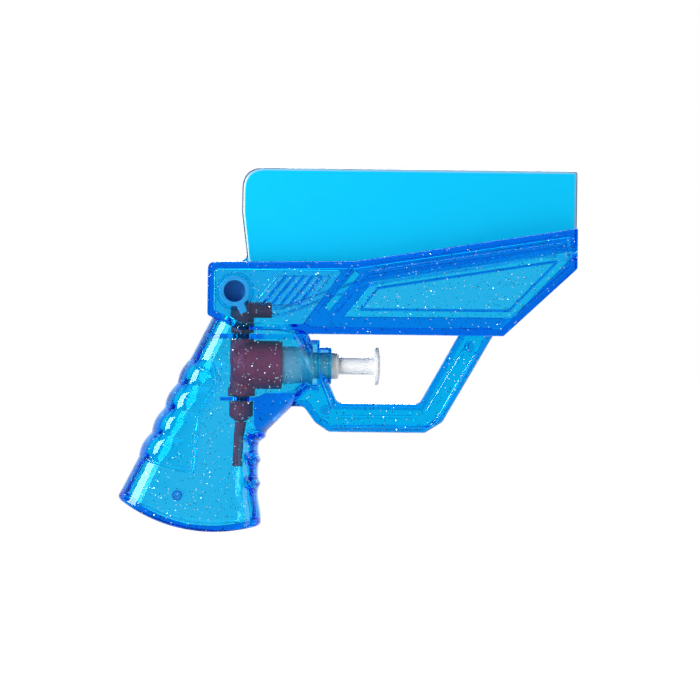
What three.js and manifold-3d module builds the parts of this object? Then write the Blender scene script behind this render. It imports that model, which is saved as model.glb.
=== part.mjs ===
// Toy water squirter: a see-through pistol body in two welded halves, built around a hand pump.
// Millimetres. +X points to the muzzle, +Y to the left side, +Z up.
// The origin lies on the mid-plane in the middle of the grip, where a hand closes round it.

import * as THREE from 'three';
import { mergeVertices } from 'three/addons/utils/BufferGeometryUtils.js';
import Module from 'manifold-3d';

const wasm = await Module();
wasm.setup();

// Fits
const CLEARANCE = 0.3; // gap between neighbouring pieces
const SEAM = 0.3; // gap between the two body halves at the mid-plane

// Pump datum: everything is placed from the plunger axis and the valve tower axis
const PUMP_Z = 24;
const TOWER_X = 12.2;

// Body walls
const RIM_WALL = 2.0;
const SIDE_WALL = 1.8;
const EDGE = 1.0; // rounding of the housing's and guard's outer edges

// Housing
const HOUSING_HALF = 12.5;
const HOUSING_LENGTH = 128.6;
const HOUSING_OVERHANG = 12; // rear face behind the tower axis
const HOUSING_LIFT = 11; // underside above the plunger axis
const HOUSING_HEIGHT = 24.8; // at the rear
const TOP_BREAK = 51.3; // where the top starts to climb, from the rear face
const TOP_RISE = 0.8; // climb up to the break
const MUZZLE_HEIGHT = 37.9; // top of the muzzle above the underside
const MUZZLE_FACE = 14.1; // height of the flat front face
const NOSE_LENGTH = 25.5; // run of the slanted nose
const HEEL_RUN = 11.3; // slanted lower rear corner
const HEEL_HEIGHT = 6.2;
const HEEL_STEP = 1.2; // the housing is shallower over the grip
const HEEL_STEP_RUN = 2;
const REAR_ROUND = 2.8;
const NOSE_ROUND = 1.5;

// Raised and sunk decoration on the housing's sides
const DECOR_LEAN = 38.7; // degrees from upright
const PANEL_DEPTH = 0.7;
const PANEL_START = 59; // long panel's upper rear corner, from the rear face
const PANEL_DROP = 10; // its top edge below the housing's top
const PANEL_LIFT = 8.3; // its lower edge above the underside
const PANEL_NOSE = 7.7; // its front edge behind the slanted nose
const RAIL_HEIGHT = 0.5;
const RAIL_WIDTH = 1.3;
const RAIL_START = 55.8; // rail's rear end, from the rear face
const RAIL_DROP = 4.8; // rail below the housing's top
const RAIL_STOP = 5; // rail ends this far behind the muzzle
const BAR_START = 50.3; // second slanted bar's upper end, from the rear face
const BAR_DROP = 1.9;
const RECESS_START = 24.3; // sunk field behind the bars
const RECESS_LENGTH = 18.5;
const RECESS_HEIGHT = 10.4;
const RECESS_DROP = 4.5;
const FLUTE_COUNT = 4;
const FLUTE_WIDTH = 0.8;

// Fin on top, with a flat label on each face
const FIN_HALF = 2;
const FIN_HEIGHT = 33.2; // above the housing's rear top
const FIN_SETBACK = 11.5; // rear edge from the rear face
const FIN_FOOT = 2; // the rear edge comes forward this much at its foot
const FIN_WAIST = 16; // length of the upright rear edge
const FIN_CORNER = 9;
const FIN_TOE = 1.5;
const FIN_EDGE = 0.6;
const LABEL_THICKNESS = 0.4;
const LABEL_BORDER = 0.8;

// Trigger guard
const GUARD_HALF = 6;
const GUARD_WALL = 2.3;
const GUARD_SIDE = 1.6;
const GUARD_DROP = 34.1; // lowest edge below the housing
const GUARD_BAR = 10.2; // height of the lower bar
const GUARD_OPENING = 52.3; // length of the opening at the housing
const POST_START = 35.2; // rear post's front face at the housing, from the rear face
const POST_LEAN = 23.6;
const POST_WIDTH = 10.8;
const POST_CHAMFER = 3.2;
const POST_CHAMFER_RUN = 4.8;
const STRUT_LEAN = 29.2;
const STRUT_WIDTH = 12.1;
const STRUT_CHAMFER = 3.9;
const STRUT_CHAMFER_RUN = 6.2;
const CROTCH_DROP = 1.5; // web behind the post, below the top of the lower bar
const CROTCH_RUN = 1.5;
const WEB_ROOT = 9; // the web runs this far behind the post, into the grip
const INNER_ROUND = 2.6;
const OUTER_ROUND = 2.2;

// Grip
const GRIP_HALF_TOP = 11.5;
const GRIP_HALF_BASE = 12.5;
const GRIP_RAKE = 26.7;
const GRIP_START = 2; // rear line from the rear face, at the grip's upper end
const GRIP_RISE = 6; // the rear line runs this far up into the housing
const GRIP_REAR = 56; // heel of the grip below the housing
const GRIP_FRONT = 65; // toe of the grip below the housing
const GRIP_TOE = 6.2; // front face before the tower axis
const KNEE_DROP = 37; // the front turns forward here, below the housing
const KNEE_ANGLE = 45;
const BASE_BULGE = 8.8;
const BASE_REACH = 0.3; // share of the grip over which the base's bulge fades
const SECTION_POWER = 3; // higher is boxier
const LOBE_COUNT = 4;
const LOBE_PITCH = 8.6;
const LOBE_DROP = 9; // top of the first palm lobe below the housing
const LOBE_HEIGHT = 1.0;
const BUMP_COUNT = 3;
const BUMP_PITCH = 8.5;
const BUMP_DROP = 35.4; // first finger bump below the housing
const BUMP_HEIGHT = 0.9;
const BUMP_WIDTH = 1.4;
// Relief fades in between these shares of the way from the middle to the rear or the front line
const PALM_FADE = [0.25, 0.8];
const FINGER_FADE = [0.55, 0.95];

// Plunger boss on the rear post
const BOSS_OD = 18;
const BOSS_FRONT = 27.2; // front of the large step, from the tower axis
const BOSS_DEPTH = 6;
const TIP_OD = 13;
const TIP_LENGTH = 4.2;

// Inner ribs that carry the pump
const SHELF_THICKNESS = 1.8;
const SHELF_DROP = 0.2; // shelf's top below the housing's underside
const DRAIN_LENGTH = 10;
const DRAIN_WIDTH = 12;
const DRAIN_OFFSET = 12.5; // middle of the drain slot, from the tower axis
const FOOT_RIB_DROP = 12.5; // rib's underside below the plunger axis
const FOOT_RIB_THICKNESS = 1.2;
const FOOT_RIB_REACH = 7.2;

// Locating studs between the halves
const STUD_OD = 4;
const STUD_ROOT = 0.6; // how far a stud runs into its wall
const PIN_OD = 2;
const PIN_LENGTH = 4;
const HOUSING_STUD_REAR = 20.8; // from the rear face
const HOUSING_STUD_FRONT = 33; // from the muzzle
const HOUSING_STUD_DROP = 13.2;
const STRUT_STUD_DROP = 4;
const POST_STUD_LIFT = 7.6;
const GRIP_STUD_X = 21.7; // behind the tower axis
const GRIP_STUD_DROP = 56.7;

// Pump block and valve tower
const PUMP_OD = 17;
const PUMP_FRONT = 14.3; // front face from the tower axis
const PUMP_BACK = 2.7; // back face behind the tower axis
const PUMP_BACK_OD = 13;
const PUMP_TAPER = 3.5;
const SOCKET_WALL = 2.8; // socket's back wall from the tower axis
const TOWER_OD = 8.4;
const TOWER_BORE = 2.2;
const FLANGE_OD = 9.6;
const FLANGE_HEIGHT = 3;
const SPIGOT_OD = 5.8; // the tower's upper and lower ends
const SPIGOT_FOOT = 3.1; // lower spigot below the flange
const SPIGOT_HEAD = 3.6; // upper spigot above the shelf

// Sleeve, piston and plunger
const SLEEVE_OD = 13.5;
const SLEEVE_TAIL_OD = 13;
const SLEEVE_BORE = 11.2;
const SLEEVE_LENGTH = 10.2; // in front of the pump block
const SLEEVE_FRONT_WALL = 1.1;
const NECK_OD = 9.3;
const NECK_LENGTH = 9.2;
const NECK_CHAMFER = 0.7;
const WASHER_THICKNESS = 1;
const WASHER_WIDTH = 1.3;
const ROD_OD = 6;
const ROD_PIN_OD = 3;
const ROD_PIN_LENGTH = 2.7;
const STROKE = 11;
const KNOB_STOP = 1.5; // knob to neck with the plunger pressed home
const KNOB_OD = 13.2;
const KNOB_RIM = 1.2;
const KNOB_DOME = 0.7;
const KNOB_CROWN_OD = 6.6; // flat top of the knob
const PISTON_LENGTH = 4;
const PISTON_BOSS_OD = 5.8;
const PISTON_BOSS_LENGTH = 1.5;
const SEAL_SECTION = 1.2;
const SEAL_RUNNING_GAP = 0.15;
const SPRING_WIRE = 0.6;
const SPRING_OD = 8.6;
const SPRING_TURNS = 7;

// Valves and suction
const BALL_OD = 3;
const BALL_PLAY = 0.2; // ball above its seat
const CHAMBER_BORE = 5;
const SEAT_MOUTH = 4.6;
const CAP_OD = 8.4;
const CAP_HEIGHT = 5.2;
const CAP_TAPER = 1.8;
const CAP_TIP_OD = 4;
const CAP_SEAT = 1.1; // seat's apex below the straight part of the cap
const NIPPLE_LENGTH = 4;
const NIPPLE_BORE = 1.2;
const DIP_OD = 3.6;
const DIP_BORE = 2.6;
const DIP_LENGTH = 15.5;
const DIP_LEAN = 2.4; // degrees, the lower end points back

// Delivery
const ELBOW_OD = 8.3;
const ELBOW_HEIGHT = 10.9;
const ELBOW_ROOF = 1.3;
const OUTLET_OD = 5.5;
const OUTLET_REACH = 10.3; // end of the outlet from the tower axis
const OUTLET_DROP = 2.8; // outlet's axis below the elbow's top
const VALVE_SPRING_WIRE = 0.35;
const VALVE_SPRING_OD = 3.8;
const VALVE_SPRING_TURNS = 4;
const TUBE_OD = 3.4;
const TUBE_BORE = 2;
const TUBE_GRIP = 3; // length of tube held in the elbow and in the nozzle
const TUBE_RUN = 4; // straight run before each end
const TUBE_CLIMB = 62; // where the tube reaches the band under the rail, from the rear face
const NOZZLE_OD = 5.6;
const NOZZLE_LENGTH = 6.5;
const NOZZLE_FLANGE_OD = 7.6;
const NOZZLE_FLANGE = 1.2;
const JET_BORE = 1.2;

// Filler plug on the right side
const FILLER_X = 9.5; // from the rear face
const FILLER_DROP = 10.2; // below the housing's rear top
const FILLER_BORE = 9.4;
const SEAT_OD = 13.3;
const SEAT_HEIGHT = 0.8;
const PLUG_FLANGE_OD = 10.6;
const PLUG_FLANGE = 1.2;
const PLUG_DEPTH = 5.6;
const PLUG_WALL = 0.7;
const TAB_LENGTH = 8.3; // from the plug's axis
const TAB_WIDTH = 2.7;
const TAB_ANGLE = 24; // from straight down, towards the muzzle

// Fineness of the faceted surfaces
const WELD = 1e-4; // vertices closer than this are one
const ROUND_SIDES = 16;
const CORNER_STEPS = 3;
const CORNER_REACH = 0.48; // largest share of a side that one rounding takes
const EDGE_STEPS = 2;
const BALL_SIDES = 12;
const GRIP_STATIONS = 36;
const HOLLOW_STATIONS = 14;
const GRIP_SIDES = 20;
const CURL_STEPS = 8;
const CURL_SIDES = 5;
const TUBE_STEPS = 22;
const TUBE_SIDES = 8;
const OVERSHOOT = 1; // cutters run this far past what they cut

// Places worked out from the driving sizes
const slope = (degrees) => Math.tan(THREE.MathUtils.degToRad(degrees));
const rearX = TOWER_X - HOUSING_OVERHANG;
const muzzleX = rearX + HOUSING_LENGTH;
const underZ = PUMP_Z + HOUSING_LIFT;
const topZ = underZ + HOUSING_HEIGHT;
const breakX = rearX + TOP_BREAK;
const breakZ = topZ + TOP_RISE;
const muzzleTopZ = underZ + MUZZLE_HEIGHT;
const noseTopZ = muzzleTopZ - MUZZLE_FACE;
const finTopZ = topZ + FIN_HEIGHT;
const guardBottomZ = underZ - GUARD_DROP;
const barTopZ = guardBottomZ + GUARD_BAR;
const shelfTopZ = underZ - SHELF_DROP;
const footRibZ = PUMP_Z - FOOT_RIB_DROP;
const flangeZ = footRibZ + FOOT_RIB_THICKNESS + CLEARANCE;
const spigotFootZ = flangeZ - SPIGOT_FOOT;
const spigotHeadZ = shelfTopZ + SPIGOT_HEAD;
const pumpFrontX = TOWER_X + PUMP_FRONT;
const socketX = TOWER_X + SOCKET_WALL;
const sleeveTailX = socketX + WASHER_THICKNESS + 2 * CLEARANCE;
const sleeveStepX = pumpFrontX + CLEARANCE;
const sleeveFrontX = sleeveStepX + SLEEVE_LENGTH;
const neckEndX = sleeveFrontX + NECK_LENGTH;
const knobX = neckEndX + KNOB_STOP + STROKE;
const pistonFrontX = sleeveFrontX - SLEEVE_FRONT_WALL - CLEARANCE;
const pistonBackX = pistonFrontX - PISTON_LENGTH;
const capTopZ = footRibZ - CLEARANCE;
const capBottomZ = capTopZ - CAP_HEIGHT;
const capTipZ = capBottomZ - CAP_TAPER;
const inletApexZ = capBottomZ - CAP_SEAT;
const outletApexZ = spigotHeadZ - SEAT_MOUTH / 2;
const elbowZ = shelfTopZ + CLEARANCE;
const elbowTopZ = elbowZ + ELBOW_HEIGHT;
const outletZ = elbowTopZ - OUTLET_DROP;
const outletX = TOWER_X + OUTLET_REACH;
const nozzleX = muzzleX - NOZZLE_LENGTH;
const fillerX = rearX + FILLER_X;
const fillerZ = topZ - FILLER_DROP;
const ballRise = BALL_OD / Math.SQRT2 + BALL_PLAY; // ball's centre above the apex of a 45 degree seat

// Housing's top on its climbing stretch, and the slanted nose
const topAt = (x) => breakZ + ((x - breakX) * (muzzleTopZ - breakZ)) / (muzzleX - breakX);
const noseAt = (z) => muzzleX - ((noseTopZ - z) * NOSE_LENGTH) / (noseTopZ - underZ);
// Front face of the guard's rear post, and inner face of its front strut
const postAt = (z) => rearX + POST_START + (underZ - z) * slope(POST_LEAN);
const strutAt = (z) => rearX + POST_START + GUARD_OPENING - (underZ - z) * slope(STRUT_LEAN);
// Middle of the band between the rail and the long panel, behind which the tube runs
const bandAt = (x) => topAt(x) - (RAIL_DROP + PANEL_DROP) / 2;
const nozzleZ = bandAt(nozzleX);

// Solids from three.js geometry, joined and cut as closed meshes
function solid(geometry) {
  const bare = geometry.index ? geometry.toNonIndexed() : geometry.clone();
  bare.deleteAttribute('normal');
  bare.deleteAttribute('uv');
  const merged = mergeVertices(bare, WELD);
  const index = merged.index.array;
  const faces = [];
  for (let i = 0; i < index.length; i += 3) {
    const [a, b, c] = index.subarray(i, i + 3);
    if (a !== b && b !== c && a !== c) faces.push(a, b, c);
  }
  const vertices = new Float32Array(merged.attributes.position.array);
  if (signedVolume(vertices, faces) < 0) faces.reverse();
  const triVerts = new Uint32Array(faces);
  return new wasm.Manifold(new wasm.Mesh({ numProp: 3, vertProperties: vertices, triVerts }));
}

function signedVolume(vertices, faces) {
  const corner = (i) => new THREE.Vector3().fromArray(vertices, 3 * faces[i]);
  let volume = 0;
  for (let i = 0; i < faces.length; i += 3) {
    volume += corner(i).dot(corner(i + 1).cross(corner(i + 2)));
  }
  return volume;
}

const join = (first, ...rest) => rest.reduce((sum, next) => sum.add(next), first);
const cut = (first, ...rest) => rest.reduce((left, next) => left.subtract(next), first);

// Outlines are lists of corners [x, z, rounding radius], counter-clockwise seen with +X to the right
function trace(path, corners) {
  const count = corners.length;
  corners.forEach(([x, z, radius = 0], i) => {
    const corner = new THREE.Vector2(x, z);
    const [beforeX, beforeZ] = corners[(i + count - 1) % count];
    const [afterX, afterZ] = corners[(i + 1) % count];
    const back = new THREE.Vector2(beforeX - x, beforeZ - z);
    const ahead = new THREE.Vector2(afterX - x, afterZ - z);
    const reach = CORNER_REACH * Math.min(back.length(), ahead.length());
    const trim = Math.min(radius / Math.tan(back.angleTo(ahead) / 2), reach);
    const enter = corner.clone().addScaledVector(back.normalize(), trim);
    const leave = corner.clone().addScaledVector(ahead.normalize(), trim);
    if (i === 0) path.moveTo(enter.x, enter.y);
    else path.lineTo(enter.x, enter.y);
    if (trim > 0) path.quadraticCurveTo(x, z, leave.x, leave.y);
  });
  path.closePath();
  return path;
}

// Moves every side of an outline inwards by a distance, or outwards if it is negative
function inset(corners, distance) {
  const count = corners.length;
  const inward = corners.map(([x, z], i) => {
    const [nextX, nextZ] = corners[(i + 1) % count];
    return new THREE.Vector2(z - nextZ, nextX - x).normalize();
  });
  return corners.map(([x, z, radius = 0], i) => {
    const arriving = inward[(i + count - 1) % count];
    const leaving = inward[i];
    const step = arriving.clone().add(leaving).multiplyScalar(distance / (1 + arriving.dot(leaving)));
    const rounding = Math.max(radius - Math.sign(arriving.cross(leaving)) * distance, 0);
    return [x + step.x, z + step.y, rounding];
  });
}

// A slab between y0 and y1 with the outline as its side view
function slab(corners, y0, y1) {
  const shape = trace(new THREE.Shape(), corners);
  const geometry = new THREE.ExtrudeGeometry(shape, {
    depth: y1 - y0,
    bevelEnabled: false,
    curveSegments: CORNER_STEPS,
  });
  geometry.rotateX(Math.PI / 2);
  geometry.translate(0, y1, 0);
  return solid(geometry);
}

// A slab across both halves of the body, with its outer edges rounded and perhaps a hole
function plate(corners, half, edge, hole) {
  const shape = trace(new THREE.Shape(), corners);
  if (hole) shape.holes.push(trace(new THREE.Path(), hole));
  const geometry = new THREE.ExtrudeGeometry(shape, {
    depth: 2 * (half - edge),
    bevelThickness: edge,
    bevelSize: edge,
    bevelOffset: -edge,
    bevelSegments: EDGE_STEPS,
    curveSegments: CORNER_STEPS,
  });
  geometry.rotateX(Math.PI / 2);
  geometry.translate(0, half - edge, 0);
  return solid(geometry);
}

// A round piece along an axis, from a closed profile of [radius, distance along the axis] pairs
function turned(profile, axis, place, sides = ROUND_SIDES) {
  const points = profile.map(([radius, along]) => new THREE.Vector2(radius, along));
  const geometry = new THREE.LatheGeometry([...points, points[0]], sides);
  if (axis === 'x') geometry.rotateZ(-Math.PI / 2);
  if (axis === 'z') geometry.rotateX(Math.PI / 2);
  geometry.translate(...place);
  return solid(geometry);
}

// A plain round bar, given where it starts and ends along its axis
function bar(diameter, from, to, axis, place) {
  const radius = diameter / 2;
  return turned([[0, from], [radius, from], [radius, to], [0, to]], axis, place);
}

function box(x0, x1, y0, y1, z0, z1) {
  const geometry = new THREE.BoxGeometry(x1 - x0, y1 - y0, z1 - z0);
  geometry.translate((x0 + x1) / 2, (y0 + y1) / 2, (z0 + z1) / 2);
  return solid(geometry);
}

// A straight strip of the given width between two points of the side view
function strip([x0, z0], [x1, z1], width) {
  const across = new THREE.Vector2(z0 - z1, x1 - x0).setLength(width / 2);
  return [
    [x0 - across.x, z0 - across.y],
    [x1 - across.x, z1 - across.y],
    [x1 + across.x, z1 + across.y],
    [x0 + across.x, z0 + across.y],
  ];
}

// Joins mirror-symmetric rings of equal size into a closed body, with the end rings closed by strips
function loft(rings) {
  const size = rings[0].length;
  const last = (rings.length - 1) * size;
  const faces = [];
  const quad = (a, b, c, d) => faces.push(a, b, c, a, c, d);
  for (let low = 0; low < last; low += size) {
    for (let k = 0; k < size; k += 1) {
      const next = (k + 1) % size;
      quad(low + k, low + next, low + size + next, low + size + k);
    }
  }
  for (let k = 0; k < size / 2; k += 1) {
    const mirrored = (size - k) % size;
    const mirroredNext = size - k - 1;
    quad(mirrored, mirroredNext, k + 1, k);
    quad(last + k, last + k + 1, last + mirroredNext, last + mirrored);
  }
  const geometry = new THREE.BufferGeometry();
  const points = rings.flat().flatMap((point) => point.toArray());
  geometry.setAttribute('position', new THREE.Float32BufferAttribute(points, 3));
  geometry.setIndex(faces);
  return solid(geometry);
}

// Wire wound about an axis through a point, from one distance to another along it
class Coil extends THREE.Curve {
  constructor(axis, place, radius, from, to, turns) {
    super();
    Object.assign(this, { axis, place, radius, from, to, turns });
  }

  getPoint(t, target = new THREE.Vector3()) {
    const angle = 2 * Math.PI * this.turns * t;
    const along = THREE.MathUtils.lerp(this.from, this.to, t);
    const across = [this.radius * Math.cos(angle), this.radius * Math.sin(angle)];
    const offset = this.axis === 'x' ? [along, ...across] : [...across, along];
    return target.fromArray(offset).add(this.place);
  }
}

function roundSection(path, diameter, sides) {
  for (let k = 0; k < sides; k += 1) {
    const angle = (2 * Math.PI * k) / sides;
    const [x, y] = [(diameter / 2) * Math.cos(angle), (diameter / 2) * Math.sin(angle)];
    if (k === 0) path.moveTo(x, y);
    else path.lineTo(x, y);
  }
  path.closePath();
  return path;
}

function spring(name, axis, place, outer, wire, from, to, turns) {
  const middle = new THREE.Vector3(...place);
  const curve = new Coil(axis, middle, (outer - wire) / 2, from + wire / 2, to - wire / 2, turns);
  const points = curve.getPoints(turns * CURL_STEPS);
  let gap = Infinity;
  points.forEach((point, i) => {
    for (const other of points.slice(i + CURL_STEPS / 2)) {
      gap = Math.min(gap, point.distanceTo(other) - wire);
    }
  });
  console.log(`${name}: least gap between turns ${gap.toFixed(2)} mm`);
  const section = roundSection(new THREE.Shape(), wire, CURL_SIDES);
  return solid(new THREE.ExtrudeGeometry(section, { steps: turns * CURL_STEPS, extrudePath: curve }));
}

// Housing: one outline, its hollow and its side decoration
const housingOutline = [
  [rearX, underZ + HEEL_HEIGHT, NOSE_ROUND],
  [rearX + HEEL_RUN, underZ + HEEL_STEP],
  [rearX + POST_START - HEEL_STEP_RUN, underZ + HEEL_STEP],
  [rearX + POST_START, underZ],
  [muzzleX - NOSE_LENGTH, underZ, NOSE_ROUND],
  [muzzleX, noseTopZ, NOSE_ROUND],
  [muzzleX, muzzleTopZ],
  [breakX, breakZ],
  [rearX, topZ, REAR_ROUND],
];

function slantedBar(x, z) {
  const foot = underZ + PANEL_LIFT;
  return strip([x - (z - foot) * slope(DECOR_LEAN), foot], [x, z], RAIL_WIDTH);
}

function decorated(housing) {
  const outer = HOUSING_HALF + RAIL_HEIGHT;
  const railStart = [rearX + RAIL_START, topAt(rearX + RAIL_START) - RAIL_DROP];
  const railStop = [muzzleX - RAIL_STOP, topAt(muzzleX - RAIL_STOP) - RAIL_DROP];
  const barTop = [rearX + BAR_START, breakZ - BAR_DROP];
  const raised = [strip(railStart, railStop, RAIL_WIDTH), slantedBar(...railStart), slantedBar(...barTop)];

  const panelTopX = rearX + PANEL_START;
  const panelTopZ = topAt(panelTopX) - PANEL_DROP;
  const panelFootZ = underZ + PANEL_LIFT;
  const noseRun = NOSE_LENGTH / (noseTopZ - underZ);
  const topRun = (muzzleTopZ - breakZ) / (muzzleX - breakX);
  const panelFootX = noseAt(panelFootZ) - PANEL_NOSE;
  const panelRise = panelTopZ - panelFootZ;
  const panelNose = (panelRise + (panelFootX - panelTopX) * topRun) / (1 - noseRun * topRun);
  const panel = [
    [panelTopX - panelRise * slope(DECOR_LEAN), panelFootZ],
    [panelFootX, panelFootZ],
    [panelFootX + panelNose * noseRun, panelFootZ + panelNose],
    [panelTopX, panelTopZ],
  ];

  const recessTopZ = topZ - RECESS_DROP;
  const recessLean = RECESS_HEIGHT * slope(DECOR_LEAN);
  const recessX = rearX + RECESS_START;
  const recess = [
    [recessX - recessLean, recessTopZ - RECESS_HEIGHT],
    [recessX - recessLean + RECESS_LENGTH, recessTopZ - RECESS_HEIGHT],
    [recessX + RECESS_LENGTH, recessTopZ],
    [recessX, recessTopZ],
  ];
  const flutes = Array.from({ length: FLUTE_COUNT }, (_, i) => {
    const x = recessX + ((i + 1) * RECESS_LENGTH) / (FLUTE_COUNT + 1);
    return strip([x - recessLean, recessTopZ - RECESS_HEIGHT], [x, recessTopZ], FLUTE_WIDTH);
  });

  const floor = HOUSING_HALF - PANEL_DEPTH;
  const sunk = [panel, recess].flatMap((outline) => [
    slab(outline, floor, HOUSING_HALF + OVERSHOOT),
    slab(outline, -HOUSING_HALF - OVERSHOOT, -floor),
  ]);
  const body = join(housing, ...raised.map((outline) => slab(outline, -outer, outer)));
  return join(cut(body, ...sunk), ...flutes.map((outline) => slab(outline, -HOUSING_HALF, HOUSING_HALF)));
}

// Fin: rises from the middle of the housing's top
const finOutline = [
  [rearX + FIN_SETBACK + FIN_FOOT, topZ - RIM_WALL / 2],
  [breakX, breakZ - RIM_WALL / 2],
  [muzzleX, muzzleTopZ - RIM_WALL / 2],
  [muzzleX, finTopZ, FIN_TOE],
  [rearX + FIN_SETBACK, finTopZ, FIN_CORNER],
  [rearX + FIN_SETBACK, finTopZ - FIN_WAIST, FIN_CORNER],
];

const labelOutline = [
  [rearX + FIN_SETBACK + FIN_FOOT + LABEL_BORDER, topZ + TOP_RISE + CLEARANCE],
  [breakX, breakZ + CLEARANCE],
  [muzzleX - FIN_EDGE, topAt(muzzleX - FIN_EDGE) + CLEARANCE],
  [muzzleX - FIN_EDGE, finTopZ - LABEL_BORDER, FIN_TOE],
  [rearX + FIN_SETBACK + LABEL_BORDER, finTopZ - LABEL_BORDER, FIN_CORNER],
  [rearX + FIN_SETBACK + LABEL_BORDER, finTopZ - FIN_WAIST, FIN_CORNER],
];

// Guard: a hollow bar round the plunger, from the housing to the grip
const chamferTopX = strutAt(guardBottomZ + STRUT_CHAMFER) + STRUT_WIDTH;
const chamferRearX = postAt(guardBottomZ + POST_CHAMFER) - POST_WIDTH;
const crotchZ = barTopZ - CROTCH_DROP;
const guardTopZ = underZ + RIM_WALL + EDGE;
const guardOutline = [
  [chamferRearX + POST_CHAMFER_RUN, guardBottomZ, OUTER_ROUND],
  [chamferTopX - STRUT_CHAMFER_RUN, guardBottomZ, OUTER_ROUND],
  [chamferTopX, guardBottomZ + STRUT_CHAMFER, OUTER_ROUND],
  [strutAt(guardTopZ) + STRUT_WIDTH, guardTopZ],
  [postAt(guardTopZ) - RIM_WALL, guardTopZ],
  [postAt(crotchZ) - POST_WIDTH - WEB_ROOT, crotchZ],
  [postAt(crotchZ) - POST_WIDTH - CROTCH_RUN, crotchZ, OUTER_ROUND],
  [chamferRearX, guardBottomZ + POST_CHAMFER, OUTER_ROUND],
];
const guardHoleTopZ = underZ + EDGE / 2;
const guardHole = [
  [postAt(barTopZ), barTopZ, INNER_ROUND],
  [strutAt(barTopZ), barTopZ, INNER_ROUND],
  [strutAt(guardHoleTopZ), guardHoleTopZ],
  [postAt(guardHoleTopZ), guardHoleTopZ],
];

// Grip: rings between its rear line and its front line, from the bulged base up into the housing
const gripTopZ = underZ + GRIP_RISE;
const rearAt = (z) => rearX + GRIP_START - (gripTopZ - z) * slope(GRIP_RAKE);
const kneeZ = underZ - KNEE_DROP;
const frontAt = (z) => Math.min(TOWER_X + GRIP_TOE + Math.max(0, z - kneeZ) * slope(KNEE_ANGLE), postAt(z));

function lobeAt(z) {
  const along = (underZ - LOBE_DROP - z) / LOBE_PITCH;
  return along > 0 && along < LOBE_COUNT ? LOBE_HEIGHT * Math.abs(Math.sin(Math.PI * along)) : 0;
}

function bumpAt(z) {
  let height = 0;
  for (let i = 0; i < BUMP_COUNT; i += 1) {
    const away = (z - (underZ - BUMP_DROP - i * BUMP_PITCH)) / BUMP_WIDTH;
    height += BUMP_HEIGHT * Math.exp(-away * away);
  }
  return height;
}

const signedPower = (value, power) => Math.sign(value) * Math.abs(value) ** power;

// Ring at t, 0 at the base and 1 at the top; the hollow's rings lie a wall inside
function gripRing(t, rimWall, sideWall, relief) {
  const { lerp, smoothstep } = THREE.MathUtils;
  const rearZ = lerp(underZ - GRIP_REAR, gripTopZ, t) + rimWall;
  const frontZ = lerp(underZ - GRIP_FRONT, underZ + RIM_WALL, t) + rimWall;
  const rear = new THREE.Vector3(rearAt(rearZ), 0, rearZ);
  const front = new THREE.Vector3(frontAt(frontZ), 0, frontZ);
  const middle = rear.clone().add(front).divideScalar(2);
  const ahead = front.clone().sub(rear).normalize();
  const down = new THREE.Vector3(ahead.z, 0, -ahead.x);
  const length = rear.distanceTo(front) / 2 - rimWall / Math.cos(THREE.MathUtils.degToRad(GRIP_RAKE));
  const half = lerp(GRIP_HALF_BASE, GRIP_HALF_TOP, t) - sideWall;
  const bulge = BASE_BULGE * Math.max(0, 1 - t / BASE_REACH) ** 2;
  return Array.from({ length: GRIP_SIDES }, (_, k) => {
    const angle = (2 * Math.PI * k) / GRIP_SIDES;
    const along = signedPower(Math.cos(angle), 2 / SECTION_POWER);
    const across = signedPower(Math.sin(angle), 2 / SECTION_POWER);
    const outX = signedPower(along, SECTION_POWER - 1) / length;
    const outY = signedPower(across, SECTION_POWER - 1) / half;
    const palm = relief * lobeAt(rearZ) * smoothstep(-along, ...PALM_FADE);
    const fingers = relief * bumpAt(frontZ) * smoothstep(along, ...FINGER_FADE);
    const raise = (palm + fingers) / Math.hypot(outX, outY);
    return middle
      .clone()
      .addScaledVector(ahead, along * length + outX * raise)
      .addScaledVector(down, bulge * (1 - along * along))
      .setY(across * half + outY * raise);
  });
}

function grip(rimWall, sideWall, relief, count) {
  const stations = Array.from({ length: count + 1 }, (_, i) => i / count);
  return loft(stations.map((t) => gripRing(t, rimWall, sideWall, relief)));
}

// Locating studs: [x, z, half width of the body there, side wall]
const studs = [
  [rearX + HOUSING_STUD_REAR, topZ - RECESS_DROP, HOUSING_HALF, SIDE_WALL],
  [
    muzzleX - HOUSING_STUD_FRONT,
    topAt(muzzleX - HOUSING_STUD_FRONT) - HOUSING_STUD_DROP,
    HOUSING_HALF,
    SIDE_WALL,
  ],
  [
    strutAt(underZ - STRUT_STUD_DROP) + STRUT_WIDTH / 2,
    underZ - STRUT_STUD_DROP,
    GUARD_HALF,
    GUARD_SIDE,
  ],
  [
    postAt(guardBottomZ + POST_STUD_LIFT) - POST_WIDTH / 2,
    guardBottomZ + POST_STUD_LIFT,
    GUARD_HALF,
    GUARD_SIDE,
  ],
  [TOWER_X - GRIP_STUD_X, underZ - GRIP_STUD_DROP, GRIP_HALF_BASE, SIDE_WALL],
];

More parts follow.
